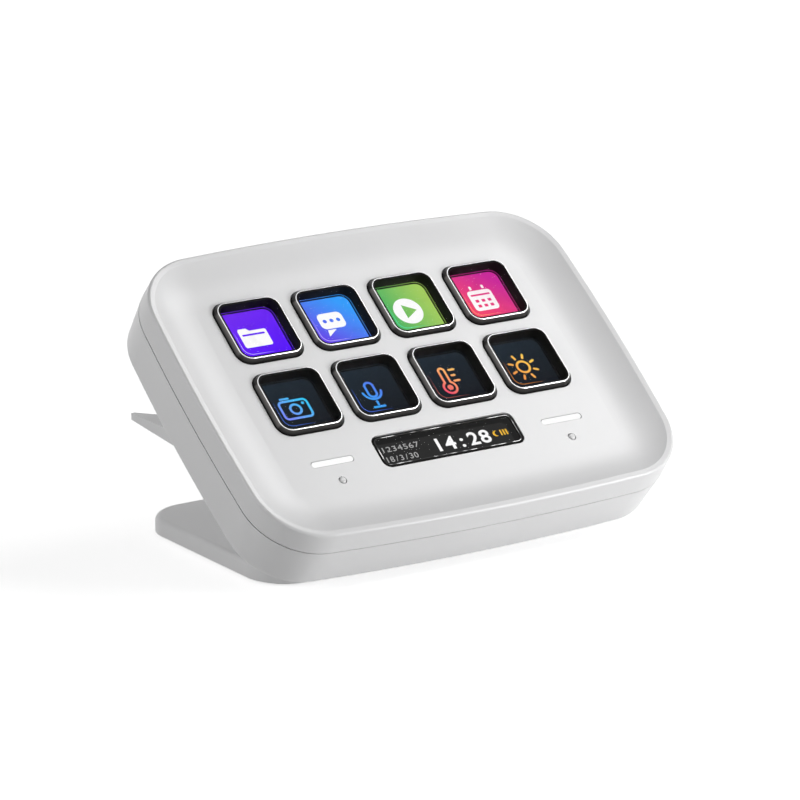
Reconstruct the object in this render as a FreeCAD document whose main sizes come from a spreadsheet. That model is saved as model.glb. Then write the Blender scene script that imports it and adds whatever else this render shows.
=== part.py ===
import FreeCAD, Part
import math
import os
from types import SimpleNamespace

import Sketcher
from FreeCAD import Placement, Rotation, Vector

# A tilted desk keypad: a two-part moulded case with eight display keys, a clock window and two
# touch points, on a one-piece stand. Millimetres. X runs to the right, Y to the back, Z up, and
# the origin is the centre of the face that rests on the desk.
#
# The case's own pieces are drawn in the frame of its face: x to the right, y up the face, z out
# of it, with z = 0 on the flat floor of the dished face. One placement then tilts them all.

SIZES = [
    ("case_width", 107.0, "width of the case across the face"),
    ("case_height", 77.6, "height of the case up the face"),
    ("corner_radius", 14.6, "radius of the case's corners"),
    ("side_curve", 471.0, "radius of the slight outward curve of the left and right sides"),
    ("end_curve", 796.0, "radius of the slight outward curve of the top and bottom sides"),
    ("face_tilt", 37.4, "angle of the face from the desk, in degrees"),
    ("desk_gap", 1.6, "height of the case's lowest edge above the desk"),
    ("case_overhang", 7.1, "how far that edge stands in front of the foot plate"),
    ("rim_rise", 2.6, "height of the rim above the floor of the face"),
    ("rim_width", 1.6, "width of the flat band on the rim"),
    ("rim_fall", 0.2, "how much lower the band's inner edge is"),
    ("rim_round", 0.6, "radius of the rim's outer edge"),
    ("dish_run", 10.0, "width of the hollow slope from the rim to the floor"),
    ("face_wall", 1.6, "thickness of the face"),
    ("shelf_inset", 6.0, "where the underside of the face starts to climb to the side wall"),
    ("shelf_rise", 1.2, "how far it climbs"),
    ("side_wall", 1.9, "thickness of the side walls"),
    ("side_draft", 0.25, "how much wider the case is at its parting line"),
    ("part_drop", 2.9, "depth of the parting line below the floor of the face"),
    ("part_groove", 0.3, "width of the groove at the parting line"),
    ("tongue_wall", 0.9, "thickness of the tongue behind the groove"),
    ("tongue_length", 1.2, "length of that tongue"),
    ("fit_gap", 0.15, "clearance of parts that locate each other"),
    ("back_depth", 13.9, "depth of the back face below the floor of the face"),
    ("back_wall", 1.8, "thickness of the back"),
    ("back_draft", 0.3, "how much narrower the case is at its back on each side"),
    ("back_round", 0.9, "radius of the edge round the back"),
    ("back_inset", 8.0, "width of the margin that the wall's sweep gives the back"),
    ("key_web", 2.5, "width of the face between two columns of keys"),
    ("row_web", 2.6, "width of the face between the two rows of keys"),
    ("top_row", 17.8, "height of the top row above the middle of the face"),
    ("key_opening", 17.0, "width of a key's opening"),
    ("key_corner", 3.5, "corner radius of a key's opening"),
    ("key_gap", 0.3, "clearance round a key in its opening"),
    ("key_rise", 1.1, "height of a key above the floor of the face"),
    ("key_travel", 1.2, "travel of a key"),
    ("key_stop", 0.15, "gap between a key's flange and the face at rest"),
    ("flange_reach", 0.5, "how far the flange that keeps a key in reaches past its opening"),
    ("flange_wall", 1.0, "thickness of that flange"),
    ("bevel_drop", 0.95, "height of the bevel round a key"),
    ("bevel_width", 0.4, "width of that bevel"),
    ("bevel_round", 0.15, "radius of the edge above the bevel"),
    ("key_wall", 0.6, "thickness of a key's side walls"),
    ("lip_cover", 0.4, "how far the lip round a key's window reaches over its hollow"),
    ("lip_wall", 0.35, "thickness of that lip"),
    ("lens_wall", 0.75, "thickness of a key's clear window"),
    ("lens_gap", 0.05, "glue gap round that clear window"),
    ("screen_room", 0.85, "space left between a pressed key's clear window and its screen"),
    ("screen_gap", 0.2, "clearance round a key's screen inside the key"),
    ("screen_wall", 1.6, "thickness of a key's screen"),
    ("dome_inset", 0.2, "how far a key's silicone spring stays inside the key's flange"),
    ("dome_wall", 0.9, "wall of that spring"),
    ("dome_gap", 0.03, "gap between that spring and what it touches"),
    ("travel_gap", 0.25, "space left under a pressed key's flange"),
    ("carrier_wall", 1.4, "thickness of the carrier plate"),
    ("carrier_side", 2.7, "how far the carrier plate reaches beside its screws"),
    ("carrier_end", 1.6, "how far the carrier plate reaches above and below its screws"),
    ("plinth_inset", 0.15, "how far the plinth under each screen stays inside it"),
    ("mat_wall", 0.4, "thickness of the silicone mat"),
    ("mat_margin", 0.4, "margin of that mat round the outermost springs"),
    ("post_gap", 0.85, "gap between the outer keys' flanges and the carrier's posts"),
    ("post_reach", 8.2, "how far those posts lie above and below the rows' middles"),
    ("post_width", 4.4, "diameter of those posts"),
    ("bar_space", 3.5, "width of the face between the lower keys and the clock window"),
    ("bar_width", 36.1, "width of the clock window's opening"),
    ("bar_height", 8.5, "height of that opening"),
    ("bar_corner", 2.0, "corner radius of that opening"),
    ("bar_gap", 0.25, "gap round the clock window"),
    ("bar_bevel", 0.25, "bevel round the clock window"),
    ("bar_flange", 1.3, "width of the flange behind the clock window"),
    ("flange_depth", 0.85, "thickness of the flange on the clock window and the light guides"),
    ("bar_screen_wall", 1.6, "thickness of the clock's display"),
    ("dash_space", 5.9, "width of the face between the clock window and a dash"),
    ("dash_offset", 0.1, "how much lower the dashes lie than the middle of the clock window"),
    ("dash_length", 10.5, "length of a dash's slot"),
    ("dash_height", 1.7, "height of a dash's slot"),
    ("dash_corner", 0.8, "radius of the ends of that slot"),
    ("dash_gap", 0.2, "gap round a dash"),
    ("dot_space", 5.05, "how much lower the dots lie than the middle of the clock window"),
    ("dot_width", 1.9, "diameter of a dot's hole"),
    ("dot_rise", 0.3, "height of a dot above the face"),
    ("touch_width", 14.0, "width of a touch point's board"),
    ("touch_height", 10.0, "height of that board"),
    ("board_wall", 0.8, "thickness of that board"),
    ("lamp_wall", 0.4, "height of an indicator lamp"),
    ("board_room", 1.2, "space between the carrier plate and the main board"),
    ("main_wall", 1.2, "thickness of the main board"),
    ("main_width", 80.0, "width of the main board"),
    ("main_height", 56.0, "height of the main board"),
    ("standoff_inset", 5.0, "how far the board's screws lie inside its edges"),
    ("standoff_width", 5.0, "diameter of a standoff"),
    ("chip_wall", 0.9, "thickness of a chip"),
    ("ribbon_wall", 0.2, "thickness of a flat ribbon"),
    ("corner_side", 9.0, "how far the case screws lie inside the case's sides"),
    ("corner_end", 8.2, "how far the case screws lie inside the case's top and bottom"),
    ("boss_width", 5.2, "diameter of the case screws' bosses"),
    ("boss_meet", 8.1, "depth at which the front and rear bosses meet"),
    ("screw_shank", 2.0, "diameter of the small screws"),
    ("screw_head", 3.8, "diameter of the small screws' heads"),
    ("screw_top", 0.9, "height of the small screws' heads"),
    ("case_shank", 2.2, "diameter of the case screws"),
    ("case_head", 3.9, "diameter of the case screws' heads"),
    ("case_top", 1.5, "height of the case screws' heads"),
    ("case_sink", 2.4, "depth of the case screws' counterbores"),
    ("screw_gap", 0.1, "clearance round a screw"),
    ("port_row", 22.0, "height of the socket above the middle of the back"),
    ("port_width", 9.0, "width of the socket"),
    ("port_height", 3.3, "height of the socket"),
    ("port_corner", 1.5, "corner radius of the socket"),
    ("port_wall", 0.3, "wall of the socket"),
    ("port_gap", 0.3, "clearance round the socket"),
    ("port_sink", 0.5, "how far the socket's mouth lies inside the back"),
    ("port_depth", 4.2, "depth of the socket's hollow"),
    ("port_tongue", 6.6, "width of the socket's inner tongue"),
    ("port_tongue_wall", 0.7, "thickness of that tongue"),
    ("weight_width", 64.0, "width of the weight plate"),
    ("weight_height", 19.0, "height of the weight plate"),
    ("weight_wall", 2.0, "thickness of the weight plate"),
    ("weight_row", 5.5, "height of the weight plate's middle above the middle of the back"),
    ("foot_width", 90.0, "width of the foot plate"),
    ("foot_depth", 53.5, "depth of the foot plate"),
    ("foot_corner", 9.5, "corner radius of the foot plate"),
    ("foot_top", 4.1, "height of the foot plate's upper face above the desk"),
    ("foot_round", 1.4, "radius of the foot plate's upper edge"),
    ("pad_show", 0.5, "how far the rubber pad stands out under the foot plate"),
    ("pad_wall", 1.3, "thickness of the rubber pad"),
    ("pad_inset", 1.2, "margin of the foot plate round the rubber pad"),
    ("rest_wall", 3.5, "thickness of the rest that carries the case"),
    ("rest_side", 12.0, "how far that rest stays inside the foot plate's sides"),
    ("rest_top", -2.0, "where that rest ends, measured up the face from the middle"),
    ("lip_level", 25.2, "height of the lip's upper face above the desk"),
    ("lip_over", 2.45, "how far the lip's horns reach out behind the foot plate"),
    ("lip_edge", 1.5, "thickness of the lip at its tips"),
    ("lip_fall", 0.105, "slope of the lip's underside"),
    ("notch_depth", 22.2, "depth of the lip's notch in front of the horns' tips"),
    ("horn_width", 0.9, "width of a horn's blunt end"),
    ("stand_side", 9.0, "how far the stand's screws lie inside the rest's sides"),
    ("stand_end", 6.0, "how far the upper ones lie below the rest's upper end"),
    ("stand_pitch", 13.0, "distance from the upper stand screws to the lower ones"),
    ("stand_shank", 2.8, "diameter of the stand's screws"),
    ("stand_head", 5.4, "diameter of their heads"),
    ("stand_top", 1.4, "height of their heads"),
    ("stand_bite", 2.6, "how deep they reach into the stand"),
]

doc = FreeCAD.newDocument("keypad")
sheet = doc.addObject("Spreadsheet::Sheet", "sizes")
for row, (alias, value, note) in enumerate(SIZES, start=1):
    sheet.set(f"A{row}", note)
    sheet.set(f"B{row}", str(value))
    sheet.setAlias(f"B{row}", alias)
doc.recompute()


class Size:
    """A number that remembers the sheet formula that it comes from."""

    def __init__(self, value, formula):
        self.value = value
        self.formula = formula

    def __add__(self, other):
        other = as_size(other)
        return Size(self.value + other.value, f"({self.formula} + {other.formula})")

    def __sub__(self, other):
        other = as_size(other)
        return Size(self.value - other.value, f"({self.formula} - {other.formula})")

    def __mul__(self, other):
        other = as_size(other)
        return Size(self.value * other.value, f"({self.formula} * {other.formula})")

    def __truediv__(self, other):
        other = as_size(other)
        return Size(self.value / other.value, f"({self.formula} / {other.formula})")

    def __radd__(self, other):
        return as_size(other) + self

    def __rsub__(self, other):
        return as_size(other) - self

    def __rmul__(self, other):
        return as_size(other) * self

    def __neg__(self):
        return as_size(0) - self


def as_size(number):
    return number if isinstance(number, Size) else Size(float(number), f"{float(number)}")


def sine(angle):
    return Size(math.sin(math.radians(angle.value)), f"sin({angle.formula})")


def cosine(angle):
    return Size(math.cos(math.radians(angle.value)), f"cos({angle.formula})")


s = SimpleNamespace(**{a: Size(float(sheet.get(a)), f"sizes.{a}") for a, value, note in SIZES})

# Where the middle of the face lies, so that the case's lowest edge clears the desk and stands
# in front of the foot plate.
SIN = sine(s.face_tilt)
COS = cosine(s.face_tilt)
FACE_Y = -s.foot_depth / 2 - s.case_overhang + s.case_height / 2 * COS - s.back_depth * SIN
FACE_Z = s.desk_gap + s.case_height / 2 * SIN + s.back_depth * COS

nodes = []


def bind(thing, name, length):
    thing.setExpression(name, length.formula)


def tilt_with_case(thing):
    """Give a piece of the case its place: tilted about X, on the middle of the face."""
    thing.Placement = Placement(Vector(0, 0, 0), Rotation(Vector(1, 0, 0), 1))
    bind(thing, "Placement.Rotation.Angle", s.face_tilt)
    bind(thing, "Placement.Base.y", FACE_Y)
    bind(thing, "Placement.Base.z", FACE_Z)


def new_body(label, in_case=True):
    body = doc.addObject("PartDesign::Body", label)
    body.Label = label
    if in_case:
        tilt_with_case(body)
    nodes.append(body)
    return body


def new_sketch(body, name, x=0, y=0, z=0, plane="XY_Plane"):
    """Add a sketch on one of the body's own planes, moved by x and y in it and by z off it."""
    sketch = body.newObject("Sketcher::SketchObject", name)
    support = [f for f in body.Origin.OriginFeatures if f.Role == plane][0]
    sketch.AttachmentSupport = (support, [""])
    sketch.MapMode = "FlatFace"
    for axis, offset in (("x", x), ("y", y), ("z", z)):
        bind(sketch, f"AttachmentOffset.Base.{axis}", as_size(offset))
    return sketch


def dimension(sketch, kind, where, length):
    index = sketch.addConstraint(Sketcher.Constraint(kind, *where, length.value))
    sketch.setExpression(f"Constraints[{index}]", length.formula)


def pin(sketch, geometry, point, x, y):
    """Hold a point of a sketch at x and y from the sketch's origin."""
    for kind, axis, distance in (("DistanceX", -2, as_size(x)), ("DistanceY", -1, as_size(y))):
        if abs(distance.value) < 1e-9:
            sketch.addConstraint(Sketcher.Constraint("PointOnObject", geometry, point, axis))
        elif distance.value > 0:
            dimension(sketch, kind, (-1, 1, geometry, point), distance)
        else:
            dimension(sketch, kind, (geometry, point, -1, 1), -distance)


def arc(centre, radius, start, end):
    circle = Part.Circle(Vector(centre[0], centre[1], 0), Vector(0, 0, 1), radius)
    return Part.ArcOfCircle(circle, start, end)


def draw_outline(sketch, inset):
    """Draw the case's outline, moved inwards: four slightly curved sides and four corners."""
    half_width = s.case_width / 2 - inset
    side = s.side_curve - inset
    end = s.end_curve - inset
    corner = s.corner_radius - inset
    side_x = half_width.value - side.value
    end_y = (s.case_height / 2 - inset).value - end.value
    reach_side = side.value - corner.value
    reach_end = end.value - corner.value
    span = math.hypot(side_x, end_y)
    along = (reach_side**2 - reach_end**2 + span**2) / (2 * span)
    across = math.sqrt(reach_side**2 - along**2)
    corner_x = side_x - along * side_x / span - across * end_y / span
    corner_y = along * end_y / span - across * side_x / span
    low = math.atan2(corner_y, corner_x - side_x)
    high = math.atan2(corner_y - end_y, corner_x)
    half, whole = math.pi, 2 * math.pi
    arcs = [
        ((side_x, 0), side, 0, low),
        ((corner_x, corner_y), corner, low, high),
        ((0, end_y), end, high, half - high),
        ((-corner_x, corner_y), corner, half - high, half - low),
        ((-side_x, 0), side, half - low, half + low),
        ((-corner_x, -corner_y), corner, half + low, half + high),
        ((0, -end_y), end, half + high, whole - high),
        ((corner_x, -corner_y), corner, whole - high, whole - low),
        ((side_x, 0), side, whole - low, whole),
    ]
    for centre, radius, start, stop in arcs:
        sketch.addGeometry(arc(centre, radius.value, start, stop), False)
    for index in range(8):
        sketch.addConstraint(Sketcher.Constraint("Tangent", index, 2, index + 1, 1))
    sketch.addConstraint(Sketcher.Constraint("Coincident", 8, 2, 0, 1))
    sketch.addConstraint(Sketcher.Constraint("Coincident", 8, 3, 0, 3))
    pin(sketch, 0, 1, half_width, 0)
    for index, axis in ((0, -1), (2, -2), (4, -1), (6, -2)):
        sketch.addConstraint(Sketcher.Constraint("PointOnObject", index, 3, axis))
    for index in (0, 1, 2, 3, 4, 5, 6, 7):
        dimension(sketch, "Radius", (index,), arcs[index][1])
    dimension(sketch, "DistanceY", (2, 3, -1, 1), s.end_curve - s.case_height / 2)
    dimension(sketch, "DistanceX", (-1, 1, 4, 3), s.side_curve - s.case_width / 2)
    dimension(sketch, "DistanceY", (-1, 1, 6, 3), s.end_curve - s.case_height / 2)
    return len(arcs)


def draw_profile(sketch, points, arcs=None):
    """Draw a closed profile through points; arcs gives an edge its radius and its centre's side."""
    arcs = arcs or {}
    ends = []
    for index, (x, y) in enumerate(points):
        next_x, next_y = points[(index + 1) % len(points)]
        first = Vector(as_size(x).value, as_size(y).value, 0)
        last = Vector(as_size(next_x).value, as_size(next_y).value, 0)
        if index not in arcs:
            sketch.addGeometry(Part.LineSegment(first, last), False)
            ends.append((1, 2))
            continue
        radius, side = arcs[index]
        chord = last - first
        lift = math.sqrt(radius.value**2 - (chord.Length / 2) ** 2)
        left = Vector(-chord.y, chord.x, 0).normalize()
        centre = (first + last) * 0.5 + left * (lift * side)
        begin, finish = (first, last) if side > 0 else (last, first)
        start = math.atan2(begin.y - centre.y, begin.x - centre.x)
        stop = math.atan2(finish.y - centre.y, finish.x - centre.x)
        stop += 2 * math.pi if stop < start else 0
        sketch.addGeometry(arc((centre.x, centre.y), radius.value, start, stop), False)
        ends.append((1, 2) if side > 0 else (2, 1))
    for index, (x, y) in enumerate(points):
        following = (index + 1) % len(points)
        joint = (index, ends[index][1], following, ends[following][0])
        sketch.addConstraint(Sketcher.Constraint("Coincident", *joint))
        pin(sketch, index, ends[index][0], x, y)
    for index, (radius, side) in arcs.items():
        dimension(sketch, "Radius", (index,), radius)


def draw_rounded(sketch, width, height, radius):
    """Draw a rectangle with rounded corners round the sketch's origin."""
    half_w, half_h, r = width.value / 2, height.value / 2, radius.value
    quarter = math.pi / 2
    corners = ((1, 1, 0), (-1, 1, 1), (-1, -1, 2), (1, -1, 3))
    for sign_x, sign_y, turn in corners:
        centre = (sign_x * (half_w - r), sign_y * (half_h - r))
        sketch.addGeometry(arc(centre, r, turn * quarter, (turn + 1) * quarter), False)
    sides = (
        ((half_w - r, half_h), (r - half_w, half_h)),
        ((-half_w, half_h - r), (-half_w, r - half_h)),
        ((r - half_w, -half_h), (half_w - r, -half_h)),
        ((half_w, r - half_h), (half_w, half_h - r)),
    )
    for start, end in sides:
        sketch.addGeometry(Part.LineSegment(Vector(*start, 0), Vector(*end, 0)), False)
    for index in range(4):
        line = index + 4
        sketch.addConstraint(Sketcher.Constraint("Tangent", index, 2, line, 1))
        sketch.addConstraint(Sketcher.Constraint("Tangent", line, 2, (index + 1) % 4, 1))
        level = "Horizontal" if index % 2 == 0 else "Vertical"
        sketch.addConstraint(Sketcher.Constraint(level, line))
        dimension(sketch, "Radius", (index,), radius)
    dimension(sketch, "DistanceY", (-1, 1, 4, 1), height / 2)
    dimension(sketch, "DistanceX", (5, 1, -1, 1), width / 2)
    dimension(sketch, "DistanceY", (6, 1, -1, 1), height / 2)
    dimension(sketch, "DistanceX", (-1, 1, 7, 1), width / 2)


def draw_circles(sketch, diameter, centres):
    for index, (x, y) in enumerate(centres):
        centre = Vector(as_size(x).value, as_size(y).value, 0)
        sketch.addGeometry(Part.Circle(centre, Vector(0, 0, 1), diameter.value / 2), False)
        dimension(sketch, "Diameter", (index,), diameter)
        pin(sketch, index, 3, x, y)


def pad(body, sketch, length, name, midplane=False):
    feature = body.newObject("PartDesign::Pad", name)
    feature.Profile = sketch
    bind(feature, "Length", as_size(length))
    feature.SideType = "Symmetric" if midplane else "One side"
    return feature


def pocket(body, sketch, length, name, upwards=False):
    """Cut from a sketch downwards, or upwards; the volume has to shrink."""
    doc.recompute()
    before = body.Shape.Volume
    feature = body.newObject("PartDesign::Pocket", name)
    feature.Profile = sketch
    feature.Reversed = upwards
    bind(feature, "Length", as_size(length))
    doc.recompute()
    if body.Shape.Volume > before - 1e-4:
        raise ValueError(f"{body.Label}: {name} cuts nothing")
    return feature


def row_of_keys(body, feature, sketch):
    """Repeat a feature of the leftmost column in the other three columns."""
    pattern = body.newObject("PartDesign::LinearPattern", f"{feature.Name}_row")
    pattern.Originals = [feature]
    pattern.Direction = (sketch, ["H_Axis"])
    bind(pattern, "Length", 3 * PITCH)
    pattern.Occurrences = 4
    body.Tip = pattern


def sweep_round(body, profile, name):
    """Sweep a wall's profile round the case's outline."""
    path = new_sketch(body, f"{name}_path")
    count = draw_outline(path, as_size(0))
    doc.recompute()
    feature = body.newObject("PartDesign::AdditivePipe", name)
    feature.Profile = profile
    feature.Spine = (path, [f"Edge{index + 1}" for index in range(count)])
    return feature


def four(column, row):
    return [(column, row), (-column, row), (-column, -row), (column, -row)]


def plate(label, width, height, radius, x, y, low, wall, in_case=True):
    """A flat piece with rounded corners, from its lower level up by its thickness."""
    body = new_body(label, in_case)
    sketch = new_sketch(body, "outline", x, y, low)
    draw_rounded(sketch, width, height, radius)
    pad(body, sketch, wall, "blank")
    return body


def edges_at(shape, level, least=0.0):
    """Names of a shape's edges that lie flat at a level, and reach out at least so far."""
    names = []
    for index, edge in enumerate(shape.Edges, start=1):
        box = edge.BoundBox
        reach = max(abs(box.XMin), abs(box.XMax), abs(box.YMin), abs(box.YMax))
        if abs(box.ZMin - level) < 1e-4 and abs(box.ZMax - level) < 1e-4 and reach >= least:
            names.append(f"Edge{index}")
    return names


def box(name, width, height, wall, x, y, low):
    """A plain block round x and y, from its lower level up."""
    solid = doc.addObject("Part::Box", name)
    for prop, length in (("Length", width), ("Width", height), ("Height", wall)):
        bind(solid, prop, as_size(length))
    bind(solid, "Placement.Base.x", as_size(x) - as_size(width) / 2)
    bind(solid, "Placement.Base.y", as_size(y) - as_size(height) / 2)
    bind(solid, "Placement.Base.z", as_size(low))
    return solid


def cylinder(name, diameter, length, x, y, low):
    solid = doc.addObject("Part::Cylinder", name)
    bind(solid, "Radius", as_size(diameter) / 2)
    bind(solid, "Height", as_size(length))
    for axis, offset in (("x", x), ("y", y), ("z", low)):
        bind(solid, f"Placement.Base.{axis}", as_size(offset))
    return solid


def join(label, pieces):
    """One node from several solids of the case; solids that don't touch stay separate."""
    group = doc.addObject("Part::MultiFuse", label)
    group.Label = label
    group.Shapes = pieces
    tilt_with_case(group)
    nodes.append(group)


def screws(label, places, seat, facing, head, top, shank, length):
    """Screws with cross slots: seated at a level, with their heads facing up or down."""
    solids = []
    for index, (x, y) in enumerate(places, start=1):
        name = f"{label}_{index}"
        head_low = seat if facing > 0 else seat - top
        shank_low = seat - length if facing > 0 else seat
        cap = cylinder(f"{name}_head", head, top, x, y, head_low)
        stem = cylinder(f"{name}_shank", shank, length, x, y, shank_low)
        slot_low = seat + top * 0.4 if facing > 0 else seat - top
        slot_a = box(f"{name}_slot_a", head * 0.6, head * 0.14, top * 0.6, x, y, slot_low)
        slot_b = box(f"{name}_slot_b", head * 0.14, head * 0.6, top * 0.6, x, y, slot_low)
        blank = doc.addObject("Part::MultiFuse", f"{name}_blank")
        blank.Shapes = [cap, stem]
        recess = doc.addObject("Part::MultiFuse", f"{name}_recess")
        recess.Shapes = [slot_a, slot_b]
        screw = doc.addObject("Part::Cut", name)
        screw.Base = blank
        screw.Tool = recess
        solids.append(screw)
    join(label, solids)


# Levels and places that several pieces share, all in the frame of the face.
HALF = s.case_width / 2
RIM_DROP = s.rim_rise - s.rim_fall
DISH_RADIUS = (s.dish_run * s.dish_run + RIM_DROP * RIM_DROP) / (2 * RIM_DROP)
FLOOR_INSET = s.rim_width + s.dish_run
TONGUE_X = HALF - s.side_wall + s.tongue_wall
TONGUE_Z = -s.part_drop - s.tongue_length
BACK_Z = -s.back_depth
BACK_INNER = BACK_Z + s.back_wall

# A key's own widths, from its opening inwards, and its flange, spring and screen.
PITCH = s.key_opening + s.key_web
ROW_PITCH = s.key_opening + s.row_web
SKIRT_WIDTH = s.key_opening - 2 * s.key_gap
SKIRT_CORNER = s.key_corner - s.key_gap
CAVITY_WIDTH = SKIRT_WIDTH - 2 * s.key_wall
CAVITY_CORNER = SKIRT_CORNER - s.key_wall
WINDOW_WIDTH = CAVITY_WIDTH - 2 * s.lip_cover
WINDOW_CORNER = CAVITY_CORNER - s.lip_cover
FLANGE_WIDTH = s.key_opening + 2 * s.flange_reach
FLANGE_CORNER = s.key_corner + s.flange_reach
DOME_WIDTH = FLANGE_WIDTH - 2 * s.dome_inset
DOME_CORNER = FLANGE_CORNER - s.dome_inset
SCREEN_WIDTH = CAVITY_WIDTH - 2 * s.screen_gap
SCREEN_CORNER = CAVITY_CORNER - s.screen_gap
PLINTH_WIDTH = SCREEN_WIDTH - 2 * s.plinth_inset
PLINTH_CORNER = SCREEN_CORNER - s.plinth_inset

# Depths of what lies behind the face, each from the one in front of it.
CAVITY_TOP = s.key_rise - s.lip_wall
LENS_LOW = CAVITY_TOP - s.lens_gap - s.lens_wall
FLANGE_TOP = -s.face_wall - s.key_stop
FLANGE_LOW = FLANGE_TOP - s.flange_wall
SCREEN_LOW = LENS_LOW - s.key_travel - s.screen_room - s.screen_wall
MAT_TOP = FLANGE_LOW - s.key_travel - s.travel_gap
CARRIER_TOP = MAT_TOP - s.mat_wall
CARRIER_LOW = CARRIER_TOP - s.carrier_wall
MAIN_TOP = CARRIER_LOW - s.board_room
MAIN_LOW = MAIN_TOP - s.main_wall
HIDDEN_TOP = -s.face_wall - s.lens_gap
HIDDEN_LOW = HIDDEN_TOP - s.flange_depth

# Where the keys, the clock window, the touch points and the screws lie on the face.
LEFT_COLUMN = -1.5 * PITCH
ROWS = (s.top_row, s.top_row - ROW_PITCH)
KEYS_MIDDLE = s.top_row - ROW_PITCH / 2
BAR_Y = ROWS[1] - s.key_opening / 2 - s.bar_space - s.bar_height / 2
TOUCH_X = s.bar_width / 2 + s.dash_space + s.dash_length / 2
DASH_Y = BAR_Y - s.dash_offset
DOT_Y = BAR_Y - s.dot_space
POST_X = 1.5 * PITCH + FLANGE_WIDTH / 2 + s.post_gap + s.post_width / 2
POST_REACH = ROW_PITCH / 2 + s.post_reach
POSTS = [(side * POST_X, KEYS_MIDDLE + end * POST_REACH) for side in (1, -1) for end in (1, -1)]
CARRIER_WIDTH = 2 * (POST_X + s.carrier_side)
CARRIER_HEIGHT = 2 * (POST_REACH + s.carrier_end)
CORNERS = four(HALF - s.corner_side, s.case_height / 2 - s.corner_end)
STANDOFFS = four(s.main_width / 2 - s.standoff_inset, s.main_height / 2 - s.standoff_inset)
REST_WIDTH = s.foot_width - 2 * s.rest_side
STAND_X = REST_WIDTH / 2 - s.stand_side
STAND_Y = (s.rest_top - s.stand_end, s.rest_top - s.stand_end - s.stand_pitch)
STAND_SCREWS = [(side * STAND_X, level) for side in (1, -1) for level in STAND_Y]
PILOT = s.screw_shank + s.screw_gap
CASE_PILOT = s.case_shank + s.screw_gap


def make_front_shell():
    """The front half of the case: rim, dished face and openings, with its screw bosses behind."""
    body = new_body("front_shell")
    wall = new_sketch(body, "wall_profile", plane="XZ_Plane")
    floor_x = HALF - FLOOR_INSET
    inner_x = HALF - s.side_wall
    points = [
        (HALF + s.side_draft, -s.part_drop),
        (HALF, s.rim_rise - s.rim_round),
        (HALF - s.rim_round, s.rim_rise),
        (HALF - s.rim_width, RIM_DROP),
        (floor_x, 0),
        (floor_x, -s.face_wall),
        (HALF - s.shelf_inset, -s.face_wall),
        (inner_x, -s.face_wall + s.shelf_rise),
        (inner_x, TONGUE_Z),
        (TONGUE_X, TONGUE_Z),
        (TONGUE_X, -s.part_drop),
    ]
    draw_profile(wall, points, {1: (s.rim_round, 1), 3: (DISH_RADIUS, -1)})
    sweep_round(body, wall, "rim")
    floor = new_sketch(body, "floor_outline", z=-s.face_wall)
    draw_outline(floor, FLOOR_INSET)
    pad(body, floor, s.face_wall, "floor")
    boss_top = -s.face_wall + s.shelf_rise / 2
    bosses = new_sketch(body, "corner_bosses", z=-s.boss_meet)
    draw_circles(bosses, s.boss_width, CORNERS)
    pad(body, bosses, boss_top + s.boss_meet, "bosses")
    posts = new_sketch(body, "carrier_posts", z=CARRIER_TOP)
    draw_circles(posts, s.post_width, POSTS)
    pad(body, posts, -CARRIER_TOP - s.face_wall / 2, "posts")
    for index, level in enumerate(ROWS, start=1):
        opening = new_sketch(body, f"key_opening_{index}", LEFT_COLUMN, level)
        draw_rounded(opening, s.key_opening, s.key_opening, s.key_corner)
        cut = pocket(body, opening, s.face_wall, f"key_hole_{index}")
        row_of_keys(body, cut, opening)
    bar = new_sketch(body, "bar_opening", 0, BAR_Y)
    draw_rounded(bar, s.bar_width, s.bar_height, s.bar_corner)
    pocket(body, bar, s.face_wall, "bar_hole")
    for name, side in (("left", -1), ("right", 1)):
        dash = new_sketch(body, f"dash_{name}", side * TOUCH_X, DASH_Y)
        draw_rounded(dash, s.dash_length, s.dash_height, s.dash_corner)
        pocket(body, dash, s.face_wall, f"dash_slot_{name}")
    dots = new_sketch(body, "dots")
    draw_circles(dots, s.dot_width, [(TOUCH_X, DOT_Y), (-TOUCH_X, DOT_Y)])
    pocket(body, dots, s.face_wall, "dot_holes")
    boss_holes = new_sketch(body, "boss_holes", z=-s.boss_meet)
    draw_circles(boss_holes, CASE_PILOT, CORNERS)
    pocket(body, boss_holes, s.boss_meet - s.part_drop, "boss_bores", upwards=True)
    post_holes = new_sketch(body, "post_holes", z=CARRIER_TOP)
    draw_circles(post_holes, PILOT, POSTS)
    pocket(body, post_holes, -CARRIER_TOP - s.face_wall - s.screw_top, "post_bores", True)


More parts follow.
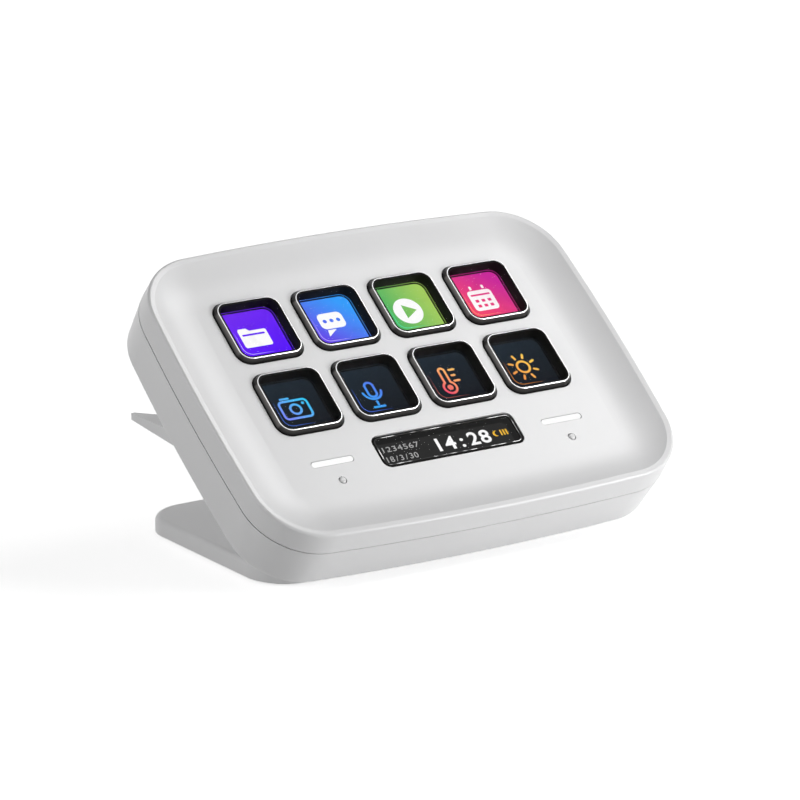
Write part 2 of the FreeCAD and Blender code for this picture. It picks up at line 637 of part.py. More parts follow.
def make_rear_shell():
    """The rear half of the case: side walls, back, standoffs and the socket's opening."""
    body = new_body("rear_shell")
    wall = new_sketch(body, "wall_profile", plane="XZ_Plane")
    top = -s.part_drop - s.part_groove
    rebate_x = TONGUE_X + s.fit_gap
    rebate_z = TONGUE_Z - s.fit_gap
    back_x = HALF - s.back_draft
    points = [
        (HALF + s.side_draft, top),
        (rebate_x, top),
        (rebate_x, rebate_z),
        (HALF - s.side_wall, rebate_z),
        (HALF - s.side_wall, BACK_INNER),
        (HALF - s.back_inset, BACK_INNER),
        (HALF - s.back_inset, BACK_Z),
        (back_x - s.back_round, BACK_Z),
        (back_x, BACK_Z + s.back_round),
    ]
    draw_profile(wall, points, {7: (s.back_round, 1)})
    sweep_round(body, wall, "side")
    back = new_sketch(body, "back_outline", z=BACK_Z)
    draw_outline(back, s.back_inset)
    pad(body, back, s.back_wall, "back")
    columns = new_sketch(body, "screw_columns", z=BACK_Z)
    draw_circles(columns, s.boss_width, CORNERS)
    pad(body, columns, s.back_depth - s.boss_meet - s.fit_gap, "columns")
    standoffs = new_sketch(body, "board_standoffs", z=BACK_Z)
    draw_circles(standoffs, s.standoff_width, STANDOFFS)
    pad(body, standoffs, MAIN_LOW - BACK_Z, "standoffs")
    through = new_sketch(body, "screw_holes", z=BACK_Z)
    draw_circles(through, s.case_shank + 2 * s.screw_gap, CORNERS)
    pocket(body, through, s.back_depth - s.boss_meet, "screw_bores", upwards=True)
    sinks = new_sketch(body, "screw_sinks", z=BACK_Z)
    draw_circles(sinks, s.case_head + 4 * s.screw_gap, CORNERS)
    pocket(body, sinks, s.case_sink, "screw_counterbores", upwards=True)
    pilots = new_sketch(body, "standoff_holes", z=MAIN_LOW)
    draw_circles(pilots, PILOT, STANDOFFS)
    pocket(body, pilots, MAIN_LOW - BACK_INNER, "standoff_bores")
    holes = new_sketch(body, "stand_holes", z=BACK_Z)
    draw_circles(holes, s.stand_shank + 2 * s.screw_gap, STAND_SCREWS)
    pocket(body, holes, s.back_wall, "stand_bores", upwards=True)
    port = new_sketch(body, "port_opening", 0, s.port_row, BACK_Z)
    width = s.port_width + 2 * s.port_gap
    height = s.port_height + 2 * s.port_gap
    draw_rounded(port, width, height, s.port_corner + s.port_gap)
    pocket(body, port, s.back_wall, "port_hole", upwards=True)


def make_key(number, x, y):
    """One key: a dark body that slides in the face, its clear window, its spring and screen."""
    body = new_body(f"key_frame_{number}")
    flange = new_sketch(body, "flange_outline", x, y, FLANGE_LOW)
    draw_rounded(flange, FLANGE_WIDTH, FLANGE_WIDTH, FLANGE_CORNER)
    pad(body, flange, s.flange_wall, "flange")
    skirt = new_sketch(body, "skirt_outline", x, y, FLANGE_LOW)
    draw_rounded(skirt, SKIRT_WIDTH, SKIRT_WIDTH, SKIRT_CORNER)
    block = pad(body, skirt, s.key_rise - FLANGE_LOW, "skirt")
    doc.recompute()
    bevel = body.newObject("PartDesign::Chamfer", "bevel")
    bevel.Base = (block, edges_at(block.Shape, s.key_rise.value))
    bevel.ChamferType = "Two distances"
    bind(bevel, "Size", s.bevel_drop)
    bind(bevel, "Size2", s.bevel_width)
    doc.recompute()
    crown = body.newObject("PartDesign::Fillet", "crown")
    crown.Base = (bevel, edges_at(bevel.Shape, s.key_rise.value))
    bind(crown, "Radius", s.bevel_round)
    cavity = new_sketch(body, "cavity_outline", x, y, CAVITY_TOP)
    draw_rounded(cavity, CAVITY_WIDTH, CAVITY_WIDTH, CAVITY_CORNER)
    pocket(body, cavity, CAVITY_TOP - FLANGE_LOW, "cavity")
    window = new_sketch(body, "window_outline", x, y, s.key_rise)
    draw_rounded(window, WINDOW_WIDTH, WINDOW_WIDTH, WINDOW_CORNER)
    pocket(body, window, s.lip_wall, "window")

    lens_width = CAVITY_WIDTH - 2 * s.lens_gap
    lens_corner = CAVITY_CORNER - s.lens_gap
    plate(f"key_lens_{number}", lens_width, lens_width, lens_corner, x, y, LENS_LOW, s.lens_wall)

    name = f"key_display_{number}"
    plate(name, SCREEN_WIDTH, SCREEN_WIDTH, SCREEN_CORNER, x, y, SCREEN_LOW, s.screen_wall)

    low = MAT_TOP + s.dome_gap
    spring = new_body(f"key_dome_{number}")
    ring = new_sketch(spring, "ring_outline", x, y, low)
    draw_rounded(ring, DOME_WIDTH, DOME_WIDTH, DOME_CORNER)
    pad(spring, ring, FLANGE_LOW - s.dome_gap - low, "ring")
    hollow = new_sketch(spring, "ring_hollow", x, y, FLANGE_LOW)
    hollow_width = DOME_WIDTH - 2 * s.dome_wall
    draw_rounded(hollow, hollow_width, hollow_width, DOME_CORNER - s.dome_wall)
    pocket(spring, hollow, FLANGE_LOW - low, "hollow")


def make_carrier():
    """The moulded plate behind the keys, with a plinth for each screen, and the silicone mat."""
    width, height = CARRIER_WIDTH, CARRIER_HEIGHT
    body = plate(
        "display_carrier", width, height, s.corner_radius / 5, 0, KEYS_MIDDLE, CARRIER_LOW,
        s.carrier_wall,
    )
    for index, level in enumerate(ROWS, start=1):
        plinth = new_sketch(body, f"plinth_outline_{index}", LEFT_COLUMN, level, CARRIER_LOW)
        draw_rounded(plinth, PLINTH_WIDTH, PLINTH_WIDTH, PLINTH_CORNER)
        raised = pad(body, plinth, SCREEN_LOW - CARRIER_LOW, f"plinth_{index}")
        doc.recompute()
        row_of_keys(body, raised, plinth)
    holes = new_sketch(body, "post_holes", z=CARRIER_TOP)
    draw_circles(holes, PILOT + s.screw_gap, POSTS)
    pocket(body, holes, s.carrier_wall, "screw_bores")

    mat_width = 3 * PITCH + DOME_WIDTH + 2 * s.mat_margin
    mat_height = ROW_PITCH + DOME_WIDTH + 2 * s.mat_margin
    mat = plate(
        "switch_mat", mat_width, mat_height, s.key_corner, 0, KEYS_MIDDLE, CARRIER_TOP, s.mat_wall
    )
    hole_width = PLINTH_WIDTH + 2 * s.key_gap
    for index, level in enumerate(ROWS, start=1):
        hole = new_sketch(mat, f"plinth_hole_{index}", LEFT_COLUMN, level, MAT_TOP)
        draw_rounded(hole, hole_width, hole_width, PLINTH_CORNER + s.key_gap)
        cut = pocket(mat, hole, s.mat_wall, f"hole_{index}")
        row_of_keys(mat, cut, hole)


def make_clock_window():
    """The clock's clear window, held by its flange behind the face, and the display behind it."""
    body = new_body("info_window")
    flange = new_sketch(body, "flange_outline", 0, BAR_Y, HIDDEN_LOW)
    width = s.bar_width + 2 * s.bar_flange
    height = s.bar_height + 2 * s.bar_flange
    draw_rounded(flange, width, height, s.bar_corner + s.bar_flange)
    pad(body, flange, s.flange_depth, "flange")
    pane = new_sketch(body, "pane_outline", 0, BAR_Y, HIDDEN_LOW)
    pane_width = s.bar_width - 2 * s.bar_gap
    pane_height = s.bar_height - 2 * s.bar_gap
    draw_rounded(pane, pane_width, pane_height, s.bar_corner - s.bar_gap)
    block = pad(body, pane, -HIDDEN_LOW - s.lens_gap, "pane")
    doc.recompute()
    bevel = body.newObject("PartDesign::Chamfer", "bevel")
    bevel.Base = (block, edges_at(block.Shape, -s.lens_gap.value))
    bind(bevel, "Size", s.bar_bevel)
    low = HIDDEN_LOW - s.bar_screen_wall
    display_width = s.bar_width + s.bar_flange
    display_height = s.bar_height + s.bar_flange
    plate(
        "info_display", display_width, display_height, s.bar_corner, 0, BAR_Y, low,
        s.bar_screen_wall,
    )


def make_touch_point(name, side):
    """One touch point: the dash's light guide, the dot, and the sensor board behind them."""
    x = side * TOUCH_X
    guide = new_body(f"touch_light_{name}")
    flange = new_sketch(guide, "flange_outline", x, DASH_Y, HIDDEN_LOW)
    flange_width = s.dash_length + s.bar_flange
    draw_rounded(flange, flange_width, s.dash_height + s.bar_flange, s.dash_corner)
    pad(guide, flange, s.flange_depth, "flange")
    bar = new_sketch(guide, "bar_outline", x, DASH_Y, HIDDEN_LOW)
    bar_width = s.dash_length - 2 * s.dash_gap
    draw_rounded(bar, bar_width, s.dash_height - 2 * s.dash_gap, s.dash_corner - s.dash_gap)
    pad(guide, bar, -HIDDEN_LOW, "bar")

    dot = new_body(f"touch_dot_{name}")
    collar = new_sketch(dot, "collar_outline", 0, 0, HIDDEN_LOW)
    draw_circles(collar, s.dot_width + s.bar_flange, [(x, DOT_Y)])
    pad(dot, collar, s.flange_depth, "collar")
    stem = new_sketch(dot, "stem_outline", 0, 0, HIDDEN_LOW)
    draw_circles(stem, s.dot_width - 2 * s.dash_gap, [(x, DOT_Y)])
    block = pad(dot, stem, s.dot_rise - HIDDEN_LOW, "stem")
    doc.recompute()
    cap = dot.newObject("PartDesign::Fillet", "cap")
    cap.Base = (block, edges_at(block.Shape, s.dot_rise.value))
    bind(cap, "Radius", s.dot_width / 5)

    lamp_low = HIDDEN_LOW - s.lamp_wall
    middle = (DASH_Y + DOT_Y) / 2
    low = lamp_low - s.board_wall
    corner = s.dash_corner
    plate(
        f"touch_board_{name}", s.touch_width, s.touch_height, corner, x, middle, low, s.board_wall
    )


def make_small_electronics():
    """Indicator lamps, the main board with its chips, and the flat ribbons."""
    lamp_low = HIDDEN_LOW - s.lamp_wall
    lamps = []
    for name, side in (("left", -1), ("right", 1)):
        for place, y in (("dash", DASH_Y), ("dot", DOT_Y)):
            label = f"lamp_{name}_{place}"
            lamp = box(label, s.dot_width, s.dot_width / 2, s.lamp_wall,
                       side * TOUCH_X, y, lamp_low)
            lamps.append(lamp)
    join("indicator_leds", lamps)

    board = plate(
        "main_board", s.main_width, s.main_height, s.bar_corner, 0, 0, MAIN_LOW, s.main_wall
    )
    holes = new_sketch(board, "screw_holes", z=MAIN_TOP)
    draw_circles(holes, PILOT + s.screw_gap, STANDOFFS)
    pocket(board, holes, s.main_wall, "screw_bores")

    chip_low = MAIN_LOW - s.chip_wall
    main_chip = s.main_width * 0.15
    memory = s.main_width * 0.09
    chips = [
        box("chip_main", main_chip, main_chip, s.chip_wall, s.main_width / 5, 0, chip_low),
        box("chip_memory", memory, main_chip, s.chip_wall, s.main_width / 3, 0, chip_low),
        box("chip_power", memory, memory, s.chip_wall, -s.main_width / 5, s.weight_row, chip_low),
    ]
    join("board_chips", chips)


def make_ribbon(label, x, width, start, bend, end, top):
    """Solids of one flat ribbon: along under its screen, down past an edge, and onto the board."""
    wall = s.ribbon_wall
    upper = box(f"{label}_upper", width, start - bend, wall, x, (start + bend) / 2, top - wall)
    drop = box(f"{label}_drop", width, wall, top - MAIN_TOP, x, bend, MAIN_TOP)
    lower = box(f"{label}_lower", width, bend - end, wall, x, (bend + end) / 2, MAIN_TOP)
    return [upper, drop, lower]


def make_ribbons():
    """The flat ribbons from the screens and sensors, and the sockets that hold their ends."""
    tab = s.bar_corner
    carrier_edge = KEYS_MIDDLE - CARRIER_HEIGHT / 2
    screen_end = carrier_edge - 2 * tab
    screen_tail = make_ribbon(
        "display_tail", 0, CARRIER_WIDTH / 4, ROWS[1], carrier_edge - tab, screen_end,
        CARRIER_LOW,
    )
    join("display_ribbon", screen_tail)
    info_back = HIDDEN_LOW - s.bar_screen_wall
    bar_edge = BAR_Y - s.bar_height / 2
    info_tail = make_ribbon(
        "info_tail", 0, s.bar_width / 3, BAR_Y, bar_edge, bar_edge - tab, info_back
    )
    join("info_ribbon", info_tail)
    board_back = HIDDEN_LOW - s.lamp_wall - s.board_wall
    touch_end = DOT_Y - tab
    touch_tails = []
    ends = [
        ("screen", 0, CARRIER_WIDTH / 4, screen_end),
        ("info", 0, s.bar_width / 3, bar_edge - tab),
    ]
    for name, side in (("left", -1), ("right", 1)):
        x = side * TOUCH_X
        touch_tails += make_ribbon(
            f"touch_tail_{name}", x, s.touch_width / 3, DASH_Y, DOT_Y, touch_end,
            board_back,
        )
        ends.append((name, x, s.touch_width / 3, touch_end))
    join("touch_ribbons", touch_tails)
    sockets = []
    for name, x, width, end in ends:
        socket_width = width + tab / 2
        place = end - tab / 2
        socket = box(f"socket_{name}", socket_width, tab, s.chip_wall, x, place, MAIN_TOP)
        sockets.append(socket)
    join("ribbon_sockets", sockets)


def make_socket():
    """The data and power socket, soldered upright on the main board's back."""
    body = new_body("usb_socket")
    mouth = BACK_Z + s.port_sink
    length = MAIN_LOW - mouth
    outer = new_sketch(body, "shell_outline", 0, s.port_row, mouth)
    draw_rounded(outer, s.port_width, s.port_height, s.port_corner)
    pad(body, outer, length, "shell")
    inner = new_sketch(body, "mouth_outline", 0, s.port_row, mouth)
    width = s.port_width - 2 * s.port_wall
    height = s.port_height - 2 * s.port_wall
    draw_rounded(inner, width, height, s.port_corner - s.port_wall)
    pocket(body, inner, s.port_depth, "mouth", upwards=True)
    tongue = new_sketch(body, "tongue_outline", 0, s.port_row, mouth + s.port_sink)
    draw_rounded(tongue, s.port_tongue, s.port_tongue_wall, s.port_tongue_wall / 4)
    pad(body, tongue, s.port_depth, "tongue")


def make_weight():
    corner = s.bar_corner
    plate(
        "weight_plate", s.weight_width, s.weight_height, corner, 0, s.weight_row, BACK_INNER,
        s.weight_wall,
    )


def make_screws():
    small = (s.screw_head, s.screw_top, s.screw_shank)
    case_length = s.back_depth - s.case_sink - s.part_drop - 2 * s.screw_top
    case_seat = BACK_Z + s.case_sink
    screws("case_screws", CORNERS, case_seat, -1, s.case_head, s.case_top, s.case_shank,
           case_length)
    carrier_length = -CARRIER_LOW - s.face_wall - 2 * s.screw_top
    screws("carrier_screws", POSTS, CARRIER_LOW, -1, *small, carrier_length)
    board_length = s.main_wall + (MAIN_LOW - BACK_INNER) / 2
    screws("board_screws", STANDOFFS, MAIN_TOP, 1, *small, board_length)
    stand_length = s.back_wall + s.stand_bite - s.screw_gap
    screws("stand_screws", STAND_SCREWS, BACK_INNER, 1, s.stand_head, s.stand_top,
           s.stand_shank, stand_length)


def on_case(along, out):
    """A point of the case's side view, in the stand's Y and Z."""
    return FACE_Y + along * COS - out * SIN, FACE_Z + along * SIN + out * COS


def back_height(y):
    """Height of the case's back face at a distance y behind the origin."""
    back_y, back_z = on_case(as_size(0), BACK_Z)
    return back_z + (y - back_y) * SIN / COS


def back_distance(z):
    """Distance behind the origin of the case's back face at a height."""
    back_y, back_z = on_case(as_size(0), BACK_Z)
    return back_y + (z - back_z) * COS / SIN


def make_stand():
    """The one-piece stand: foot plate, sloping rest under the case, and a notched rear lip."""
    body = new_body("stand", in_case=False)
    foot = new_sketch(body, "foot_outline", z=s.pad_show)
    draw_rounded(foot, s.foot_width, s.foot_depth, s.foot_corner)
    slab = pad(body, foot, s.foot_top - s.pad_show, "foot")
    doc.recompute()
    rounded = body.newObject("PartDesign::Fillet", "foot_edge")
    rounded.Base = (slab, edges_at(slab.Shape, s.foot_top.value))
    bind(rounded, "Radius", s.foot_round)

    front = -s.foot_depth / 2
    inside = s.foot_top / 2
    top_y, top_z = on_case(s.rest_top, BACK_Z)
    under_y, under_z = on_case(s.rest_top, BACK_Z - s.rest_wall)
    meet_y = under_y - (under_z - inside) * COS / SIN
    rest = new_sketch(body, "rest_profile", plane="YZ_Plane")
    draw_profile(rest, [
        (front, inside),
        (meet_y, inside),
        (under_y, under_z),
        (top_y, top_z),
        (front, back_height(front)),
    ])
    pad(body, rest, REST_WIDTH, "rest", midplane=True)

    tip_y = s.foot_depth / 2 + s.lip_over
    tip_low = s.lip_level - s.lip_edge
    root_low_z = tip_low - (tip_y - back_distance(tip_low)) * s.lip_fall
    root_low_y = back_distance(root_low_z)
    lip = new_sketch(body, "lip_profile", plane="YZ_Plane")
    draw_profile(lip, [
        (root_low_y, root_low_z),
        (tip_y, tip_low),
        (tip_y, s.lip_level),
        (back_distance(s.lip_level), s.lip_level),
    ])
    pad(body, lip, s.foot_width, "lip", midplane=True)

    half = s.foot_width / 2 - s.horn_width
    radius = (half * half + s.notch_depth * s.notch_depth) / (2 * s.notch_depth)
    notch = new_sketch(body, "notch_outline", z=s.lip_level)
    draw_circles(notch, 2 * radius, [(0, tip_y - s.notch_depth + radius)])
    pocket(body, notch, s.lip_level / 3, "notch")

    recess = new_sketch(body, "pad_recess", z=s.pad_show)
    recess_width = s.foot_width - 2 * s.pad_inset
    recess_depth = s.foot_depth - 2 * s.pad_inset
    draw_rounded(recess, recess_width, recess_depth, s.foot_corner - s.pad_inset)
    pocket(body, recess, s.pad_wall - s.pad_show, "pad_seat", upwards=True)

    holes = new_sketch(body, "screw_holes")
    holes.AttachmentOffset = Placement(Vector(0, 0, 0), Rotation(Vector(1, 0, 0), 1))
    seat_y, seat_z = on_case(as_size(0), BACK_Z)
    bind(holes, "AttachmentOffset.Rotation.Angle", s.face_tilt)
    bind(holes, "AttachmentOffset.Base.y", seat_y)
    bind(holes, "AttachmentOffset.Base.z", seat_z)
    draw_circles(holes, s.stand_shank + s.screw_gap, STAND_SCREWS)
    pocket(body, holes, s.stand_bite, "screw_bores")

    sheet_width = recess_width - 2 * s.fit_gap
    sheet_depth = recess_depth - 2 * s.fit_gap
    corner = s.foot_corner - s.pad_inset - s.fit_gap
    low = as_size(0)
    plate("foot_pad", sheet_width, sheet_depth, corner, 0, 0, low, s.pad_wall, in_case=False)


make_front_shell()
make_rear_shell()
key_number = 0
for key_level in ROWS:
    for key_column in range(4):
        key_number += 1
        make_key(key_number, (key_column - 1.5) * PITCH, key_level)
make_carrier()
make_clock_window()
for side_name, side_sign in (("left", -1), ("right", 1)):
    make_touch_point(side_name, side_sign)
make_small_electronics()
make_ribbons()
make_socket()
make_weight()
make_screws()
make_stand()
doc.recompute()

for thing in doc.Objects:
    if {"Invalid", "Error"} & set(thing.State):
        raise ValueError(f"{thing.Label} failed: {thing.State}")
for node in nodes:
    if node.Shape.isNull() or not node.Shape.isValid():
        raise ValueError(f"{node.Label} has no valid shape")

os.makedirs("parts", exist_ok=True)
for node in nodes:
    node.Shape.exportStep(f"parts/{node.Label}.step")
print(len(nodes), "nodes")
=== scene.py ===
import math

import bmesh
import bpy
from mathutils import Matrix, Vector


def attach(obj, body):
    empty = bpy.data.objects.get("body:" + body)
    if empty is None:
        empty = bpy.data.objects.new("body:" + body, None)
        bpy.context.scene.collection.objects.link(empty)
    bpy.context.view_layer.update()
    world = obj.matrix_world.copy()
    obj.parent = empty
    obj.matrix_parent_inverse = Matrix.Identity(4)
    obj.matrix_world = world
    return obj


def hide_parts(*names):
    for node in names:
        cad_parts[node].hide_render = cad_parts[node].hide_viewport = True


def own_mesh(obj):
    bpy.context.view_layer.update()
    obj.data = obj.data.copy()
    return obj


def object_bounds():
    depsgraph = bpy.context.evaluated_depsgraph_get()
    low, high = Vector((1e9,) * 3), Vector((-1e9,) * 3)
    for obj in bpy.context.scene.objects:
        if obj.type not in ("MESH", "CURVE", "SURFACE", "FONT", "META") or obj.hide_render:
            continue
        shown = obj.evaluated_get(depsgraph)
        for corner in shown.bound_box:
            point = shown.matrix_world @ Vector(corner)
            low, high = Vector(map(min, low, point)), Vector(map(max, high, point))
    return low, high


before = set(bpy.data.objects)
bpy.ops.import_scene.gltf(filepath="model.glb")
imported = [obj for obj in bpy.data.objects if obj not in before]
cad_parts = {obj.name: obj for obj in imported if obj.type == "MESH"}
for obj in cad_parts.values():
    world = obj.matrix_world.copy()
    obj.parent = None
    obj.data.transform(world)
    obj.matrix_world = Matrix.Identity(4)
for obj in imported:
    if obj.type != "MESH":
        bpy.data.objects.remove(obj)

cad_low, cad_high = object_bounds()

# STUDIO
# The keypad stands by itself on a wide sheet of pale paper, under large soft panels, in a white
# room. The camera looks down on it from the front left, nearly a metre away, through a long lens.

scene = bpy.context.scene
scene.view_settings.view_transform = "Standard"


def add_object(name, data):
    """A new object of the given data, at the origin."""
    added = bpy.data.objects.new(name, data)
    scene.collection.objects.link(added)
    return added


camera_dip, camera_turn = 15.63, -33.83
camera_data = bpy.data.cameras.new("camera")
camera_data.sensor_width = 36
camera_data.lens = 207.85
camera_data.clip_start = 0.05
camera = add_object("camera", camera_data)
camera.location = (-0.5289, -0.7966, 0.2954)
camera.rotation_euler = (math.radians(90 - camera_dip), 0, math.radians(camera_turn))
scene.camera = camera

keypad_middle = (cad_low + cad_high) / 2


def soft_panel(name, place, width, power):
    """A square soft light that faces the keypad and that the camera doesn't see."""
    light = bpy.data.lights.new(name, "AREA")
    light.shape = "SQUARE"
    light.size = width
    light.energy = power
    panel = add_object(name, light)
    panel.location = place
    panel.rotation_euler = (Vector(place) - keypad_middle).to_track_quat("Z", "Y").to_euler()
    panel.visible_camera = False


soft_panel("panel_front", place=(0.35, -0.45, 0.12), width=0.2, power=2.03)
soft_panel("panel_right", place=(0.384, -0.035, 0.49), width=0.28, power=0.95)
soft_panel("panel_left", place=(-1.1, 0.2, 0.6), width=0.8, power=4.3)


def place_node(tree, kind, sockets=(), **settings):
    """A node with its settings, and with its sockets wired or given a value."""
    made = tree.nodes.new(kind)
    for setting, value in settings.items():
        setattr(made, setting, value)
    for socket, value in dict(sockets).items():
        if isinstance(value, bpy.types.NodeSocket):
            tree.links.new(value, made.inputs[socket])
        else:
            made.inputs[socket].default_value = value
    return made


def math_node(tree, operation, *values, clamped=False):
    """The result of one sum on the given values."""
    return place_node(tree, "ShaderNodeMath", enumerate(values), operation=operation,
                      use_clamp=clamped).outputs[0]


def vector_node(tree, operation, sockets, result="Vector"):
    """The result of one sum on vectors."""
    return place_node(tree, "ShaderNodeVectorMath", sockets, operation=operation).outputs[result]


def object_place(tree):
    """Where a point of the piece lies, in metres."""
    return place_node(tree, "ShaderNodeTexCoord").outputs["Object"]


def seen_directly(tree):
    """1 for camera, glossy and transmitted rays, which see the white studio, and 0 for the rest."""
    path = place_node(tree, "ShaderNodeLightPath").outputs
    seen = math_node(tree, "MAXIMUM", path["Is Camera Ray"], path["Is Glossy Ray"])
    return math_node(tree, "MAXIMUM", seen, path["Is Transmission Ray"])


def new_material(name, **plain):
    """A material with its tree and its Principled shader, whose plain values are set."""
    material = bpy.data.materials.new(name)
    material.use_nodes = True
    shader = material.node_tree.nodes["Principled BSDF"]
    for socket, value in plain.items():
        shader.inputs[socket.replace("_", " ")].default_value = value
    return material, material.node_tree, shader


room_white = (1, 1, 1, 1)
room_lighting, room_showing = 0.1, 1.0
world = bpy.data.worlds.new("white_room")
world.use_nodes = True
room = world.node_tree
room.nodes.clear()
room_light = place_node(room, "ShaderNodeBackground",
                        {"Color": room_white, "Strength": room_lighting})
room_wall = place_node(room, "ShaderNodeBackground",
                       {"Color": room_white, "Strength": room_showing})
room_mix = place_node(room, "ShaderNodeMixShader",
                      {0: seen_directly(room), 1: room_light.outputs[0], 2: room_wall.outputs[0]})
place_node(room, "ShaderNodeOutputWorld", {"Surface": room_mix.outputs[0]})
scene.world = world

floor_half, floor_drop = 3.0, 0.0001
floor_mesh = bpy.data.meshes.new("floor")
floor_mesh.from_pydata([(x * floor_half, y * floor_half, -floor_drop)
                        for x, y in ((-1, -1), (1, -1), (1, 1), (-1, 1))], [], [(0, 1, 2, 3)])
floor = add_object("floor", floor_mesh)

# The paper is lifted towards white where it is seen, more so away from the keypad.
paper, paper_tree, paper_shader = new_material("floor_paper", Base_Color=(0.8, 0.8, 0.8, 1),
                                               Roughness=0.9)
paper_reach = vector_node(paper_tree, "LENGTH", {0: object_place(paper_tree)}, "Value")
paper_lift = place_node(paper_tree, "ShaderNodeMapRange",
                        {"Value": paper_reach, "From Min": 0.1, "From Max": 0.8,
                         "To Min": 0.7, "To Max": 1.0}).outputs[0]
paper_shown = math_node(paper_tree, "MULTIPLY", seen_directly(paper_tree), paper_lift)
paper_glow = place_node(paper_tree, "ShaderNodeEmission", {"Strength": paper_shown})
paper_sum = place_node(paper_tree, "ShaderNodeAddShader",
                       {0: paper_shader.outputs[0], 1: paper_glow.outputs[0]})
paper_tree.links.new(paper_sum.outputs[0], paper_tree.nodes["Material Output"].inputs["Surface"])
floor_mesh.materials.append(paper)

# CASE
# The two halves of the case are injection moulded in white ABS with a fine spark texture, and
# meet at a thin parting line. Four screws from the back hold them together.


def node_group(kind, name, inputs, outputs):
    """An empty node group with named sockets, and what it is given."""
    group = bpy.data.node_groups.new(name, kind)
    for way, sockets in (("INPUT", inputs), ("OUTPUT", outputs)):
        for label, value in sockets.items():
            group.interface.new_socket(label, in_out=way, socket_type="NodeSocket" + value)
    return group, group.nodes.new("NodeGroupInput").outputs


def use_group(tree, group, values):
    """What a shader group puts out for the given values."""
    return place_node(tree, "ShaderNodeGroup", values, node_tree=group).outputs


def moulded_grain_group():
    """Fine texture of a mould, with the faint clouding that a moulded surface shows."""
    group, given = node_group(
        "ShaderNodeTree", "moulded_grain",
        {"Tone": "Color", "Clouding": "Float", "Grains Per Metre": "Float", "Roughness": "Float"},
        {"Tone": "Color", "Roughness": "Float", "Height": "Float"})
    place = object_place(group)
    clouds = place_node(group, "ShaderNodeTexNoise",
                        {"Vector": place, "Scale": 60.0, "Detail": 3.0}).outputs["Fac"]
    about_middle = math_node(group, "SUBTRACT", clouds, 0.5)
    shift = math_node(group, "MULTIPLY", about_middle, given["Clouding"])
    level = math_node(group, "ADD", shift, 1.0)
    tone = vector_node(group, "SCALE", {0: given["Tone"], "Scale": level})
    grain = place_node(group, "ShaderNodeTexNoise",
                       {"Vector": place, "Scale": given["Grains Per Metre"], "Detail": 2.0,
                        "Roughness": 0.6}).outputs["Fac"]
    gloss_change = 0.12
    uneven = math_node(group, "MULTIPLY_ADD", grain, gloss_change, -gloss_change / 2)
    rough = math_node(group, "ADD", uneven, given["Roughness"], clamped=True)
    place_node(group, "NodeGroupOutput", {"Tone": tone, "Roughness": rough, "Height": grain})
    return group


moulded_grain = moulded_grain_group()
grain_depth = 0.00003


def moulded(name, tone, roughness, clouding=0.03, grains=2600.0, relief=0.12, **plain):
    """A moulded plastic or rubber: its tone, its gloss and how strong its texture is."""
    material, tree, shader = new_material(name, **plain)
    grain = use_group(tree, moulded_grain, {"Tone": (*tone, 1), "Clouding": clouding,
                                            "Grains Per Metre": grains, "Roughness": roughness})
    bump = place_node(tree, "ShaderNodeBump",
                      {"Height": grain["Height"], "Strength": relief, "Distance": grain_depth})
    tree.links.new(grain["Tone"], shader.inputs["Base Color"])
    tree.links.new(grain["Roughness"], shader.inputs["Roughness"])
    tree.links.new(bump.outputs[0], shader.inputs["Normal"])
    return material


def dress(material, *names):
    """Gives CAD nodes their finish."""
    for name in names:
        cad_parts[name].material_slots[0].material = material


white_plastic = moulded("white_plastic", (0.8, 0.8, 0.805), 0.36, Specular_IOR_Level=0.9)
dress(white_plastic, "front_shell", "rear_shell")

# KEYS
# Each key is a clear window held in a moulded black surround, which slides in a square opening of
# the case. The surround's metal edge is painted darker towards its foot as shade in the gap, and
# painted bright along the top as a highlight.

millimetre = 0.001
face_tilt = math.radians(37.4)
face_centre = Vector((0, -0.011469, 0.036209))
face = (Matrix.Translation(face_centre) @ Matrix.Rotation(face_tilt, 4, "X")
        @ Matrix.Scale(millimetre, 4))
press_axis = (0, math.sin(face_tilt), -math.cos(face_tilt))
column_pitch, row_pitch, top_row = 19.5, 19.6, 17.8
key_places = {4 * row + column + 1: ((column - 1.5) * column_pitch, top_row - row * row_pitch)
              for row in range(2) for column in range(4)}


def end_geometry_tree(tree, geometry, finish):
    """The last steps of a Geometry Nodes tree: real geometry in one finish."""
    whole = place_node(tree, "GeometryNodeRealizeInstances", {"Geometry": geometry})
    coated = place_node(tree, "GeometryNodeSetMaterial",
                        {"Geometry": whole.outputs[0], "Material": finish})
    place_node(tree, "NodeGroupOutput", {0: coated.outputs[0]})


def frame_sweep_tree():
    """Carries a section, drawn beside its path, round a frame with rounded corners."""
    tree, given = node_group(
        "GeometryNodeTree", "frame_sweep",
        {"Section": "Geometry", "Width": "Float", "Height": "Float", "Corner Radius": "Float",
         "Corner Steps": "Int", "Centre": "Vector", "Finish": "Material"},
        {"Ring": "Geometry"})
    square = place_node(tree, "GeometryNodeCurvePrimitiveQuadrilateral",
                        {"Width": given["Width"], "Height": given["Height"]})
    path = place_node(tree, "GeometryNodeFilletCurve",
                      {"Curve": square.outputs[0], "Radius": given["Corner Radius"],
                       "Count": given["Corner Steps"]}, mode="POLY")
    swept = place_node(tree, "GeometryNodeCurveToMesh",
                       {"Curve": path.outputs[0], "Profile Curve": given["Section"]})
    moved = place_node(tree, "GeometryNodeTransform",
                       {"Geometry": swept.outputs[0], "Translation": given["Centre"]})
    end_geometry_tree(tree, moved.outputs[0], given["Finish"])
    return tree


frame_sweep = frame_sweep_tree()


def plain_mesh(drawn):
    """The mesh of something drawn as a curve, as text or with a modifier, which is then removed."""
    evaluated = drawn.evaluated_get(bpy.context.evaluated_depsgraph_get())
    mesh = bpy.data.meshes.new_from_object(evaluated)
    bpy.data.objects.remove(drawn)
    return mesh


